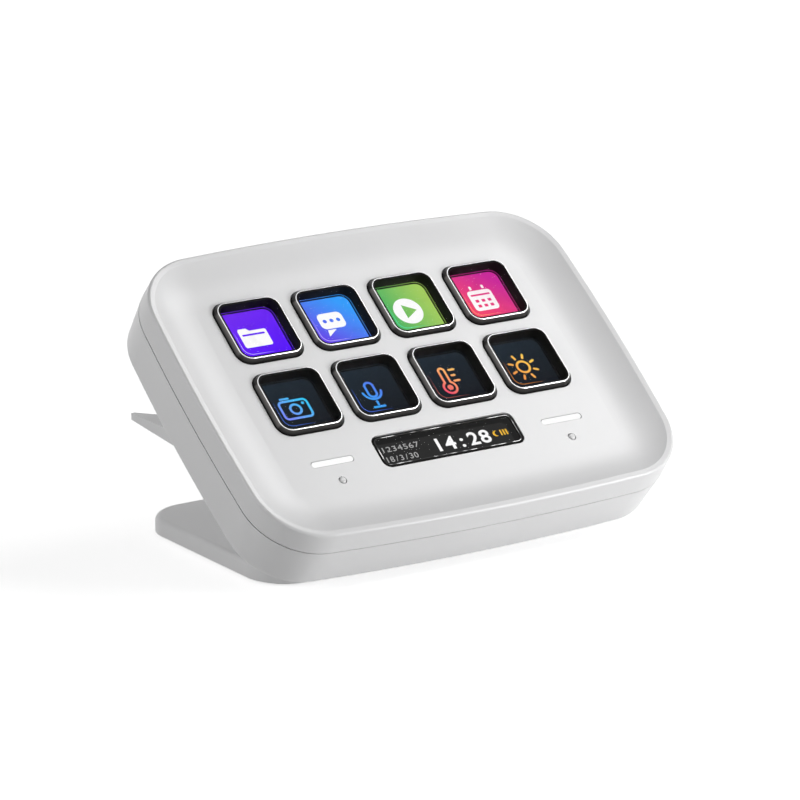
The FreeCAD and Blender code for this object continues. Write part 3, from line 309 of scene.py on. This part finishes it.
def grown_mesh(drawn, tree, values):
    """The mesh that a Geometry Nodes tree makes of something drawn."""
    modifier = drawn.modifiers.new(tree.name, "NODES")
    modifier.node_group = tree
    for item in tree.interface.items_tree:
        if item.in_out == "INPUT" and item.name in values:
            modifier[item.identifier] = values[item.name]
    return plain_mesh(drawn)


def add_closed_line(curve, points):
    """A closed line of a curve through the given points."""
    spline = curve.splines.new("POLY")
    spline.points.add(len(points) - 1)
    for point, (x, y) in zip(spline.points, points):
        point.co = (x, y, 0, 1)
    spline.use_cyclic_u = True


merged_within, shortest_edge = 0.0005, 0.0001


def into_place(name, mesh, body, smooth_below=35.0, drawn_on=face):
    """A finished piece of a mesh in millimetres, drawn on the tilted face unless told otherwise."""
    work = bmesh.new()
    work.from_mesh(mesh)
    bmesh.ops.remove_doubles(work, verts=work.verts, dist=merged_within)
    bmesh.ops.dissolve_degenerate(work, edges=work.edges, dist=shortest_edge)
    bmesh.ops.recalc_face_normals(work, faces=work.faces)
    work.to_mesh(mesh)
    work.free()
    mesh.transform(drawn_on)
    mesh.shade_smooth()
    mesh.set_sharp_from_angle(angle=math.radians(smooth_below))
    piece = add_object(name, mesh)
    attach(piece, body)
    return piece


def ring(name, section, outline, centre, finish, body, steps=12, smooth_below=35.0):
    """A piece of one (out, up) section, carried round an outline: width, height, corner radius."""
    width, height, corner_radius = outline
    line = bpy.data.curves.new(name, "CURVE")
    line.dimensions = "3D"
    add_closed_line(line, [(out, -up) for out, up in section])
    mesh = grown_mesh(add_object(name, line), frame_sweep,
                      {"Width": width, "Height": height, "Corner Radius": corner_radius,
                       "Corner Steps": steps, "Centre": (*centre, 0.0), "Finish": finish})
    return into_place(name, mesh, body, smooth_below)


def finger_marks_group():
    """Faint greasy patches that dull a gloss surface here and there."""
    group, given = node_group("ShaderNodeTree", "finger_marks",
                              {"Roughness": "Float", "Dulling": "Float"}, {"Roughness": "Float"})
    smear = place_node(group, "ShaderNodeTexNoise",
                       {"Vector": object_place(group), "Scale": 170.0, "Detail": 4.0,
                        "Distortion": 1.2}).outputs["Fac"]
    patch = place_node(group, "ShaderNodeMapRange",
                       {"Value": smear, "From Min": 0.48, "From Max": 0.7}).outputs[0]
    dull = math_node(group, "MULTIPLY", patch, given["Dulling"])
    rough = math_node(group, "ADD", dull, given["Roughness"])
    place_node(group, "NodeGroupOutput", {"Roughness": rough})
    return group


finger_marks = finger_marks_group()


def key_black_material():
    """Smooth black plastic with finger marks."""
    material, tree, shader = new_material("key_black", Base_Color=(0.016, 0.0155, 0.015, 1),
                                          Specular_IOR_Level=0.02)
    marks = use_group(tree, finger_marks, {"Roughness": 0.6, "Dulling": 0.18})
    tree.links.new(marks["Roughness"], shader.inputs["Roughness"])
    return material


key_black = key_black_material()


def ramped(tree, share, first, *others):
    """The tone at a share of the way along a ramp, whose stops are (position, tone)."""
    ramp = place_node(tree, "ShaderNodeValToRGB", {"Fac": share})
    stops = ramp.color_ramp.elements
    stops.remove(stops[1])
    stops[0].position, stops[0].color = first[0], (*first[1], 1)
    for position, tone in others:
        stops.new(position).color = (*tone, 1)
    return ramp.outputs["Color"]


def bevel_painted_light_material():
    """Metal edge of a key: painted shade low on its side, a painted highlight along the top."""
    material, tree, shader = new_material("bevel_painted_light", Metallic=1.0)
    marks = use_group(tree, finger_marks, {"Roughness": 0.2, "Dulling": 0.12})
    offset = vector_node(tree, "SUBTRACT", {0: object_place(tree), 1: face_centre})
    height = vector_node(tree, "DOT_PRODUCT", {0: offset, 1: -Vector(press_axis)}, "Value")
    edge_foot, edge_top = 0.15 * millimetre, 1.1 * millimetre
    share = place_node(tree, "ShaderNodeMapRange",
                       {"Value": height, "From Min": edge_foot, "From Max": edge_top}).outputs[0]
    # Painted light: near black at the foot as shade, dark grey up the side, bright at the top as a
    # highlight.
    tone = ramped(tree, share, (0.0, (0.012, 0.012, 0.012)), (0.9, (0.055, 0.052, 0.05)),
                  (0.97, (0.85, 0.85, 0.86)))
    tree.links.new(tone, shader.inputs["Base Color"])
    tree.links.new(marks["Roughness"], shader.inputs["Roughness"])
    return material


bevel_painted_light = bevel_painted_light_material()


def clear_window(name):
    """Clear glass, coated so that it hardly mirrors, and less clear where a finger touched it."""
    material, tree, shader = new_material(name, Roughness=0.0, Transmission_Weight=1.0, IOR=1.02,
                                          Specular_IOR_Level=0.0)
    marks = use_group(tree, finger_marks, {"Roughness": 0.0, "Dulling": 0.06})
    clear = math_node(tree, "SUBTRACT", 1.0, marks["Roughness"])
    tree.links.new(clear, shader.inputs["Base Color"])
    return material


key_window = clear_window("key_window")

# A section's points are millimetres outwards from its outline and up from the face.
surround_outline = (16.4, 16.4, 3.2)
surround_section = [(0.8, -2.75), (0.8, -1.83), (0.72, -1.75), (0.0, -1.75), (0.0, 0.15),
                    (-0.52, 0.96), (-0.56, 1.02), (-0.62, 1.07), (-0.7, 1.09), (-1.08, 1.09),
                    (-1.14, 1.07), (-1.18, 1.02), (-1.18, 0.75), (-0.6, 0.75), (-0.6, -2.75)]
bevel_section = [(0.0, 0.16), (0.02, 0.18), (-0.5, 0.97), (-0.55, 1.045), (-0.61, 1.088),
                 (-0.66, 1.108), (-0.72, 1.11), (-0.72, 1.08), (-0.56, 0.97)]
for number, centre in key_places.items():
    surround = ring(f"key_surround_{number}", surround_section, surround_outline, centre,
                    key_black, f"key_{number}")
    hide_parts(f"key_frame_{number}")
    ring(f"key_bevel_{number}", bevel_section, surround_outline, centre, bevel_painted_light,
         f"key_{number}")
    dress(key_window, f"key_lens_{number}")

# KEY SPRINGS
# A moulded ring of soft grey silicone stands under each key and pushes it back up. Its foot rests
# on the sheet below.

silicone = moulded("silicone", (0.2, 0.21, 0.22), 0.62, clouding=0.12, grains=900.0, relief=0.2)
spring_outline, spring_foot = (16.7, 16.7, 3.35), -4.17
spring_section = [(-0.42, spring_foot), (0.42, spring_foot), (0.44, -4.02), (0.3, -3.9),
                  (0.22, -3.55), (0.24, -3.2), (0.4, -3.0), (0.43, -2.86), (0.34, -2.79),
                  (-0.34, -2.79), (-0.43, -2.86), (-0.4, -3.0), (-0.24, -3.2), (-0.22, -3.55),
                  (-0.3, -3.9), (-0.44, -4.02)]
for number, centre in key_places.items():
    spring = ring(f"key_spring_{number}", spring_section, spring_outline, centre, silicone,
                  "case", steps=8, smooth_below=60)
    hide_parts(f"key_dome_{number}")
    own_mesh(spring)

# KEY SCREENS
# A small colour screen in a thin black border stands on the carrier under each key and shows
# through its window. A thin glowing arc on the lower left of each window is a painted glint, where
# its edge would catch the screen's light. The top row shows white pictures on bright grounds, and
# the lower row coloured outlines on a dark ground.

pixels_per_metre, pixel_seam = 9000.0, 0.12


def screen_light_group():
    """Light of a screen that runs from one colour to another, over its fine raster of pixels."""
    group, given = node_group(
        "ShaderNodeTree", "screen_light",
        {"From": "Color", "To": "Color", "Middle": "Vector", "Direction": "Vector",
         "Reach": "Float", "Raster": "Float"},
        {"Light": "Color"})
    offset = vector_node(group, "SUBTRACT", {0: object_place(group), 1: given["Middle"]})
    along = vector_node(group, "DOT_PRODUCT", {0: offset, 1: given["Direction"]}, "Value")
    part = math_node(group, "DIVIDE", along, given["Reach"])
    share = math_node(group, "MULTIPLY_ADD", part, 0.5, 0.5, clamped=True)
    colour_from, colour_to, colour_out = 6, 7, 2  # the Mix node's sockets for colours
    blend = place_node(group, "ShaderNodeMix",
                       {"Factor": share, colour_from: given["From"], colour_to: given["To"]},
                       data_type="RGBA").outputs[colour_out]
    flat = place_node(group, "ShaderNodeMapping",
                      {"Vector": offset, "Rotation": (-face_tilt, 0, 0)}).outputs[0]
    cells = vector_node(group, "SCALE", {0: flat, "Scale": pixels_per_metre})
    in_cell = vector_node(group, "FRACTION", {0: cells})
    cell = place_node(group, "ShaderNodeSeparateXYZ", {0: in_cell})
    seam = math_node(group, "MAXIMUM",
                     math_node(group, "LESS_THAN", cell.outputs["X"], pixel_seam),
                     math_node(group, "LESS_THAN", cell.outputs["Y"], pixel_seam))
    dim = math_node(group, "MULTIPLY", seam, given["Raster"])
    level = math_node(group, "SUBTRACT", 1.0, dim)
    place_node(group, "NodeGroupOutput",
               {"Light": vector_node(group, "SCALE", {0: blend, "Scale": level})})
    return group


screen_light = screen_light_group()
face_right = Vector((1, 0, 0))
face_up = Vector((0, math.cos(face_tilt), math.sin(face_tilt)))


def written(code):
    """The linear colour of a hex code, by the curve that screens use."""
    levels = [int(code[i:i + 2], 16) / 255 for i in (0, 2, 4)]
    return (*(v / 12.92 if v <= 0.04045 else ((v + 0.055) / 1.055) ** 2.4 for v in levels), 1)


def lit(name, first, second, centre, toward=(1, 1), reach=7.0, raster=0.15):
    """A lit surface whose colour runs from first to second, towards a direction on the face."""
    material, tree, shader = new_material(name, Base_Color=(0, 0, 0, 1), Roughness=0.35,
                                          Specular_IOR_Level=0.0, Emission_Strength=1.0)
    run = (face_right * toward[0] + face_up * toward[1]).normalized()
    light = use_group(tree, screen_light,
                      {"From": written(first), "To": written(second),
                       "Middle": face @ Vector((*centre, 0)), "Direction": run,
                       "Reach": reach * millimetre, "Raster": raster})
    tree.links.new(light["Light"], shader.inputs["Emission Color"])
    return material


def arc(x, y, radius, start, end, steps=18):
    """Points of an arc, from one angle in degrees to another."""
    turns = [math.radians(start + (end - start) * i / steps) for i in range(steps + 1)]
    return [(x + radius * math.cos(turn), y + radius * math.sin(turn)) for turn in turns]


def disc(x, y, radius, steps=36):
    """Points of a whole circle."""
    return arc(x, y, radius, 0, 360, steps)[:-1]


def rounded_box(x, y, width, height, radius, steps=6):
    """Points of a box with rounded corners, about its middle."""
    across, upward = width / 2 - radius, height / 2 - radius
    corners = [(x + across, y + upward, 0), (x - across, y + upward, 90),
               (x - across, y - upward, 180), (x + across, y - upward, 270)]
    return [point for corner_x, corner_y, turn in corners
            for point in arc(corner_x, corner_y, radius, turn, turn + 90, steps)]


sharpest_mitre = 0.4


def offset_line(points, distance, closed):
    """The line moved sideways, with its corners mitred."""
    moved = []
    last = len(points) - 1
    for i, point in enumerate(points):
        before = points[i - 1] if i or closed else None
        after = points[(i + 1) % len(points)] if i < last or closed else None
        here = Vector(point)
        ways = [(here - Vector(before)).normalized()] if before else []
        ways += [(Vector(after) - here).normalized()] if after else []
        along = sum(ways, Vector((0, 0))).normalized()
        reach = distance / max(along.dot(ways[0]), sharpest_mitre)
        moved.append(tuple(here + Vector((-along.y, along.x)) * reach))
    return moved


def loop_stroke(points, width):
    """The two edges of a closed line of the given width."""
    return [offset_line(points, side * width / 2, True) for side in (1, -1)]


def open_stroke(points, width):
    """The edge of an open line of the given width, with round ends."""
    left, right = (offset_line(points, side * width / 2, False) for side in (1, -1))
    start = Vector(points[1]) - Vector(points[0])
    end = Vector(points[-1]) - Vector(points[-2])
    start_turn = math.degrees(math.atan2(start.y, start.x))
    end_turn = math.degrees(math.atan2(end.y, end.x))
    tip = arc(*points[-1], width / 2, end_turn + 90, end_turn - 90, steps=8)
    tail = arc(*points[0], width / 2, start_turn - 90, start_turn - 270, steps=8)
    return [left[:-1] + tip + right[-2:0:-1] + tail] if len(points) > 2 else [tip + tail]


def flat_mesh(loops, low, high, centre=(0, 0)):
    """A thin flat solid whose outlines and holes are the loops, in millimetres on the face."""
    outline = bpy.data.curves.new("outline", "CURVE")
    outline.dimensions = "2D"
    outline.fill_mode = "BOTH"
    outline.extrude = (high - low) / 2
    for loop in loops:
        add_closed_line(outline, loop)
    mesh = plain_mesh(add_object("outline", outline))
    mesh.transform(Matrix.Translation((*centre, (low + high) / 2)))
    return mesh


def show(name, mesh, material, body="case"):
    """A finished piece of a mesh on the face, in one finish."""
    mesh.materials.clear()
    mesh.materials.append(material)
    return into_place(name, mesh, body)


# The pictures are drawn in millimetres from the middle of a screen.
stroke = 0.55
folder = [[(-3.4, 2.0), (-3.1, 2.5), (-1.2, 2.5), (-0.6, 1.8), (3.1, 1.8), (3.4, 1.5),
           (3.4, -2.2), (3.1, -2.6), (-3.1, -2.6), (-3.4, -2.2)],
          rounded_box(0, 0.75, 5.6, 0.5, 0.24)]
speech = [rounded_box(0.2, 0.9, 6.2, 4.2, 1.2), disc(-1.5, 0.9, 0.5, 20), disc(0.2, 0.9, 0.5, 20),
          disc(1.9, 0.9, 0.5, 20), [(-1.9, -1.5), (0.3, -1.5), (-2.2, -3.2)]]
player = [disc(0, 0, 3.5, 48), [(-1.0, 1.9), (-1.0, -1.9), (2.2, 0.0)]]
planner = [rounded_box(0, -0.4, 6.2, 5.6, 0.9), rounded_box(0, 1.15, 5.0, 0.5, 0.2)]
planner += [rounded_box(-1.6 + 1.6 * column, -0.5 - 1.4 * row, 0.9, 0.8, 0.15)
            for row in range(2) for column in range(3)]
planner += [rounded_box(side * 1.6, 3.2, 0.6, 1.0, 0.25) for side in (-1, 1)]
snapshot = loop_stroke(rounded_box(0, -0.4, 6.8, 4.6, 0.9), stroke)
snapshot += loop_stroke(disc(0, -0.4, 1.25), stroke)
snapshot += [rounded_box(-1.5, 2.6, 2.4, 0.5, 0.24), disc(2.3, 0.9, 0.36, 16)]
voice = loop_stroke(rounded_box(0, 1.1, 2.0, 3.8, 0.95), stroke)
voice += open_stroke(arc(0, 0.9, 2.3, 190, 350), stroke)
voice += open_stroke([(0, -2.1), (0, -2.9)], stroke)
voice += open_stroke([(-1.3, -3.5), (1.3, -3.5)], stroke)
warmth = loop_stroke(arc(-0.6, -1.9, 1.55, 118, 422, 30) + arc(-0.6, 2.6, 0.72, 0, 180, 12), stroke)
warmth += [disc(-0.6, -1.9, 0.7, 24)]
for step in range(3):
    level = 2.6 - 1.5 * step
    warmth += open_stroke([(1.3, level), (2.5 - 0.5 * (step % 2), level)], stroke)
daylight = loop_stroke(disc(0, 0, 1.5), stroke)
for ray in range(8):
    turn = math.radians(45 * ray + 22.5)
    daylight += open_stroke([(reach * math.cos(turn), reach * math.sin(turn))
                             for reach in (2.5, 3.4)], stroke)

white_mark = ("FFFFFF", "FFFFFF")
dark_ground = ("252E37", "1E2126")
shown = {
    1: (folder, white_mark, ("7430F4", "5A1CFF"), (0.4, -1)),
    2: (speech, white_mark, ("6B2BEA", "3AA0FF"), (1, 1)),
    3: (player, white_mark, ("2FB468", "A8D062"), (1, 0.2)),
    4: (planner, ("FFFFFF", "FFF0F4"), ("FF5064", "CC2E9C"), (0.9, 1)),
    5: (snapshot, ("7A8CF8", "35C8F5"), dark_ground, (0.5, -1)),
    6: (voice, ("3BA7F5", "5A78F0"), dark_ground, (0.5, -1)),
    7: (warmth, ("F0506E", "FFC46A"), dark_ground, (0.5, -1)),
    8: (daylight, ("F59A50", "FFD25A"), dark_ground, (0.5, -1)),
}
screen_top = -2.1
border_low, border_top = screen_top + 0.01, screen_top + 0.05
mark_low, mark_top = screen_top + 0.02, screen_top + 0.04
border_outline, border_inner = (14.5, 14.5, 2.25), (13.7, 13.7, 1.9)
border = [rounded_box(0, 0, *border_outline), rounded_box(0, 0, *border_inner)]
for number, (picture, mark_tones, ground_tones, toward) in shown.items():
    centre = key_places[number]
    dress(lit(f"screen_{number}", *ground_tones, centre, toward), f"key_display_{number}")
    show(f"screen_border_{number}", flat_mesh(border, border_low, border_top, centre), key_black)
    show(f"screen_mark_{number}", flat_mesh(picture, mark_low, mark_top, centre),
         lit(f"mark_{number}", *mark_tones, centre, reach=3.5, raster=0.1))

# Painted glints: a thin glowing arc on each window's lower left, in the screen's colour, stands in
# for its edge catching the screen's light.
glint_reach, glint_corner, glint_width, glint_level, glint_height = 6.4, 2.1, 0.14, 0.702, 0.02
glint_turn = glint_corner - glint_reach
glint_line = [(-glint_reach, 0.3)]
glint_line += arc(glint_turn, glint_turn, glint_corner, 180, 270, 14)
glint_line += [(0.8, -glint_reach)]
glint_line += arc(glint_turn, glint_turn, glint_corner - glint_width, 270, 180, 14)
glint_tones = {1: "C9B4FF", 2: "C8B8FF", 3: "5FE8AE", 4: "FF9A78",
               5: "4A6CD0", 6: "4A6CE0", 7: "A4564E", 8: "D08038"}
for number, tone in glint_tones.items():
    centre = key_places[number]
    show(f"key_glint_{number}",
         flat_mesh([glint_line], glint_level, glint_level + glint_height, centre),
         lit(f"glint_{number}", tone, tone, centre, raster=0.0), body=f"key_{number}")

# SWITCH SHEET
# A sheet of the same silicone, cut flat, lies over the carrier under the springs. It is cut out
# round the plinth of each screen, and three small round holes in its middle place it.

sheet_low, sheet_top = -4.6, -4.2
sheet_middle = top_row - row_pitch / 2
sheet_outline, cut_outline, hole_radius = (76.9, 38.0, 3.5), (15.1, 15.1, 2.5), 0.7
sheet_lines = [rounded_box(0, sheet_middle, *sheet_outline)]
sheet_lines += [rounded_box(*centre, *cut_outline) for centre in key_places.values()]
sheet_lines += [disc(column * column_pitch, sheet_middle, hole_radius, 20) for column in (-1, 0, 1)]
sheet = show("switch_sheet", flat_mesh(sheet_lines, sheet_low, sheet_top), silicone)
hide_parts("switch_mat")

# CLOCK
# A narrow display behind a clear pane shows the time in white, small grey figures and an amber
# mark. A black moulded frame holds the pane in the case, with a thin metal edge line painted
# bright in patches as broken glints, and a dark grey liner, glowing dim as painted shade, closes
# the gap down to the display.


def painted_glint_line_material():
    """A metal line painted bright in patches, as broken glints."""
    material, tree, shader = new_material("painted_glint_line", Metallic=1.0, Roughness=0.25)
    patches = place_node(tree, "ShaderNodeTexNoise",
                         {"Vector": object_place(tree), "Scale": 260.0, "Detail": 1.0})
    # Painted glints: noise patches of the line are bright, the rest stays near black.
    tone = ramped(tree, patches.outputs["Fac"], (0.46, (0.03, 0.03, 0.03)),
                  (0.56, (0.6, 0.6, 0.6)))
    tree.links.new(tone, shader.inputs["Base Color"])
    return material


clock_centre = (0, -18.05)
clock_reach = 18
bezel_outline = (35.6, 8.0, 1.75)
bezel_section = [(0.9, -2.5), (0.9, -1.72), (0.82, -1.64), (0.0, -1.64), (0.0, -0.2),
                 (-0.05, -0.1), (-0.14, -0.05), (-0.62, -0.05), (-0.7, -0.13), (-0.7, -0.3),
                 (-0.42, -0.34), (-0.42, -2.5)]
edge_section = [(-0.42, -0.07), (-0.42, -0.045), (-0.45, -0.032), (-0.52, -0.032),
                (-0.55, -0.045), (-0.55, -0.07)]
liner_section = [(-0.43, -2.54), (-0.43, -0.36), (-0.52, -0.36), (-0.52, -2.54)]
bezel = ring("clock_bezel", bezel_section, bezel_outline, clock_centre, key_black, "case")
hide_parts("info_window")
ring("clock_bezel_edge", edge_section, bezel_outline, clock_centre, painted_glint_line_material(), "case")
pane_outline, pane_low, pane_top = (34.6, 7.0, 1.3), -0.33, -0.1
show("clock_pane", flat_mesh([rounded_box(*clock_centre, *pane_outline)], pane_low, pane_top),
     clear_window("clock_glass"))
clock_black = lit("clock_ground", "303030", "323232", clock_centre, reach=clock_reach)
# Painted shade: the liner glows a dim, even grey, standing in for the shade in the gap inside the
# frame.
clock_shade = lit("clock_shade", "222222", "262626", clock_centre, reach=clock_reach, raster=0.0)
ring("clock_liner", liner_section, bezel_outline, clock_centre, clock_shade, "case")
display_outline, display_low, display_top = (37.4, 9.8, 0.8), -4.1, -2.56
display = show("clock_screen", flat_mesh([rounded_box(*clock_centre, *display_outline)],
                                         display_low, display_top), clock_black)
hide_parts("info_display")

figure_level, figure_half = -2.53, 0.01


def figure_mesh(character, weight):
    """One raised character, with its outline's lowest and highest corners."""
    line = bpy.data.curves.new("figure", "FONT")
    line.body = character
    line.extrude = figure_half
    line.offset = weight
    mesh = plain_mesh(add_object("figure", line))
    across = [vertex.co.x for vertex in mesh.vertices]
    upward = [vertex.co.y for vertex in mesh.vertices]
    return mesh, (min(across), min(upward)), (max(across), max(upward))


def figures(name, text, across, upward, material, weight=0.0, filled=0.8):
    """A row of raised characters in cells of one width, between the given edges."""
    (left, right), (low, high) = across, upward
    _, zero_low, zero_high = figure_mesh("0", weight)
    pitch = (right - left) / len(text)
    wide = filled * pitch / (zero_high[0] - zero_low[0])
    tall = (high - low) / (zero_high[1] - zero_low[1])
    row = bmesh.new()
    for cell, character in enumerate(text):
        mesh, drawn_low, drawn_high = figure_mesh(character, weight)
        to_middle = Matrix.Translation((-(drawn_low[0] + drawn_high[0]) / 2, -zero_low[1], 0))
        to_cell = Matrix.Translation((left + pitch * (cell + 0.5), low, figure_level))
        mesh.transform(to_cell @ Matrix.Diagonal((wide, tall, 1, 1)) @ to_middle)
        row.from_mesh(mesh)
    mesh = bpy.data.meshes.new(name)
    row.to_mesh(mesh)
    row.free()
    show(name, mesh, material)


def clock_ink(name, first, second, x):
    """The light of the figures round one place along the clock."""
    return lit(name, first, second, (x, clock_centre[1]), reach=clock_reach, raster=0.1)


clock_grey = clock_ink("clock_grey", "A9A9A9", "B4B4B4", -12)
figures("clock_time", "14:28", across=(-2.6, 12.3), upward=(-19.0, -15.55),
        material=clock_ink("clock_white", "FFFFFF", "FFFFFF", 5), weight=0.02, filled=0.86)
figures("clock_days", "1234567", across=(-15.2, -5.4), upward=(-16.75, -15.4), material=clock_grey)
figures("clock_date", "18/3/30", across=(-15.3, -6.9), upward=(-19.35, -17.95), material=clock_grey)
mark_y = -17.1
crescent = arc(13.75, mark_y, 0.75, 60, 300) + arc(14.15, mark_y, 0.64, 270, 90, 14)
bars = [rounded_box(15.1 + 0.72 * i, mark_y, 0.36, 1.5, 0.16) for i in range(3)]
show("clock_mark",
     flat_mesh([crescent] + bars, figure_level - figure_half, figure_level + figure_half),
     clock_ink("clock_amber", "F0B428", "F6C84A", 15))

# TOUCH POINTS
# Two milky light guides show as white dashes beside the clock, each in a thin grey rubber seal and
# with a small button-like pip under it. Both are pushed in from behind, in front of small lamps.

dash_x, dash_y = 29.2, -18.15
guide_white = lit("guide_white", "FFFFFF", "FFFFFF", (0, dash_y), reach=30, raster=0.0)
dress(guide_white, "touch_light_left", "touch_light_right")
seal_grey = moulded("seal_grey", (0.3, 0.3, 0.3), 0.6, relief=0.05)
seal_outline = (10.16, 1.36, 0.66)
seal_section = [(0.0, -0.9), (0.14, -0.9), (0.14, -0.16), (0.07, -0.1), (0.0, -0.16)]
for side_name, side in (("left", -1), ("right", 1)):
    ring(f"light_seal_{side_name}", seal_section, seal_outline, (side * dash_x, dash_y), seal_grey,
         "case", steps=8)
pip_plastic = moulded("pip_plastic", (0.8, 0.8, 0.8), 0.3, relief=0.05)
dress(pip_plastic, "touch_dot_left", "touch_dot_right", "indicator_leds")

# INSIDE
# A moulded carrier holds the screens and the silicone sheet over the main board, which carries the
# chips and sockets. Film ribbons join the boards, a zinc-plated steel plate gives the light case
# its weight, and steel screws hold it all.

dark_plastic = moulded("dark_plastic", (0.03, 0.03, 0.032), 0.5, clouding=0.1)
chip_plastic = moulded("chip_plastic", (0.022, 0.022, 0.024), 0.55, clouding=0.15, grains=4000.0)
dress(dark_plastic, "display_carrier")
dress(chip_plastic, "board_chips", "ribbon_sockets")


def patterned(name, first, second, texture, settings, **plain):
    """A two-tone surface whose pattern comes from one texture node, flat on the tilted face."""
    material, tree, shader = new_material(name, **plain)
    place = place_node(tree, "ShaderNodeMapping",
                       {"Vector": object_place(tree), "Rotation": (-face_tilt, 0, 0)}).outputs[0]
    pattern = place_node(tree, texture, {"Vector": place, **settings})
    tone = ramped(tree, pattern.outputs["Fac"], (0.42, first), (0.5, second))
    tree.links.new(tone, shader.inputs["Base Color"])
    return material


circuit_board = patterned("circuit_board", (0.008, 0.07, 0.035), (0.02, 0.14, 0.07),
                          "ShaderNodeTexBrick", {"Scale": 260.0}, Roughness=0.32)
ribbon_film = patterned("ribbon_film", (0.3, 0.11, 0.02), (0.5, 0.24, 0.06),
                        "ShaderNodeTexWave", {"Scale": 320.0}, Roughness=0.3)
plated_steel = patterned("plated_steel", (0.5, 0.5, 0.52), (0.62, 0.62, 0.63),
                         "ShaderNodeTexNoise", {"Scale": 500.0, "Detail": 4.0}, Roughness=0.3,
                         Metallic=1.0)
dress(circuit_board, "main_board", "touch_board_left", "touch_board_right")
dress(ribbon_film, "display_ribbon", "info_ribbon", "touch_ribbons")
dress(plated_steel, "weight_plate", "usb_socket", "case_screws", "carrier_screws", "board_screws",
      "stand_screws")

# STAND
# One white moulding: a flat foot plate, a sloped rest behind the case and a lip at the back. A
# thin ribbed pad of black rubber is glued under the foot plate.

dress(white_plastic, "stand")
rubber = moulded("rubber", (0.05, 0.05, 0.05), 0.75, clouding=0.2, grains=1500.0, relief=0.3)


def grip_ribs_tree():
    """Adds a row of round ribs along X, side by side along Y, to a pad."""
    tree, given = node_group(
        "GeometryNodeTree", "grip_ribs",
        {"Pad": "Geometry", "Ribs": "Int", "Pitch": "Float", "Length": "Float",
         "Radius": "Float", "Finish": "Material"},
        {"Pad": "Geometry"})
    gaps = math_node(tree, "SUBTRACT", given["Ribs"], 1.0)
    span = math_node(tree, "MULTIPLY", gaps, given["Pitch"])
    first = math_node(tree, "MULTIPLY", span, -0.5)
    start = place_node(tree, "ShaderNodeCombineXYZ", {"Y": first, "Z": given["Radius"]})
    step = place_node(tree, "ShaderNodeCombineXYZ", {"Y": given["Pitch"]})
    line = place_node(tree, "GeometryNodeMeshLine",
                      {"Count": given["Ribs"], "Start Location": start.outputs[0],
                       "Offset": step.outputs[0]})
    rib = place_node(tree, "GeometryNodeMeshCylinder",
                     {"Vertices": 12, "Radius": given["Radius"], "Depth": given["Length"]})
    row = place_node(tree, "GeometryNodeInstanceOnPoints",
                     {"Points": line.outputs[0], "Instance": rib.outputs["Mesh"],
                      "Rotation": (0, math.radians(90), 0)})
    both = place_node(tree, "GeometryNodeJoinGeometry", {0: given["Pad"]})
    tree.links.new(row.outputs[0], both.inputs[0])
    end_geometry_tree(tree, both.outputs[0], given["Finish"])
    return tree


pad_outline, lip_inner = (87.3, 50.8, 8.15), (82.3, 45.8, 5.65)
pad_top, pad_low, lip_top = 1.3, 0.35, 0.45
pad_edge = rounded_box(0, 0, *pad_outline)
pad_mesh = flat_mesh([pad_edge], pad_low, pad_top)
pad_solids = bmesh.new()
pad_solids.from_mesh(pad_mesh)
pad_solids.from_mesh(flat_mesh([pad_edge, rounded_box(0, 0, *lip_inner)], 0.0, lip_top))
pad_solids.to_mesh(pad_mesh)
pad_solids.free()
ribbed_mesh = grown_mesh(add_object("pad", pad_mesh), grip_ribs_tree(),
                         {"Ribs": 11, "Pitch": 4.0, "Length": 68.0, "Radius": 0.4,
                          "Finish": rubber})
grip_pad = into_place("grip_pad", ribbed_mesh, "case",
                      drawn_on=Matrix.Scale(millimetre, 4))
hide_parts("foot_pad")
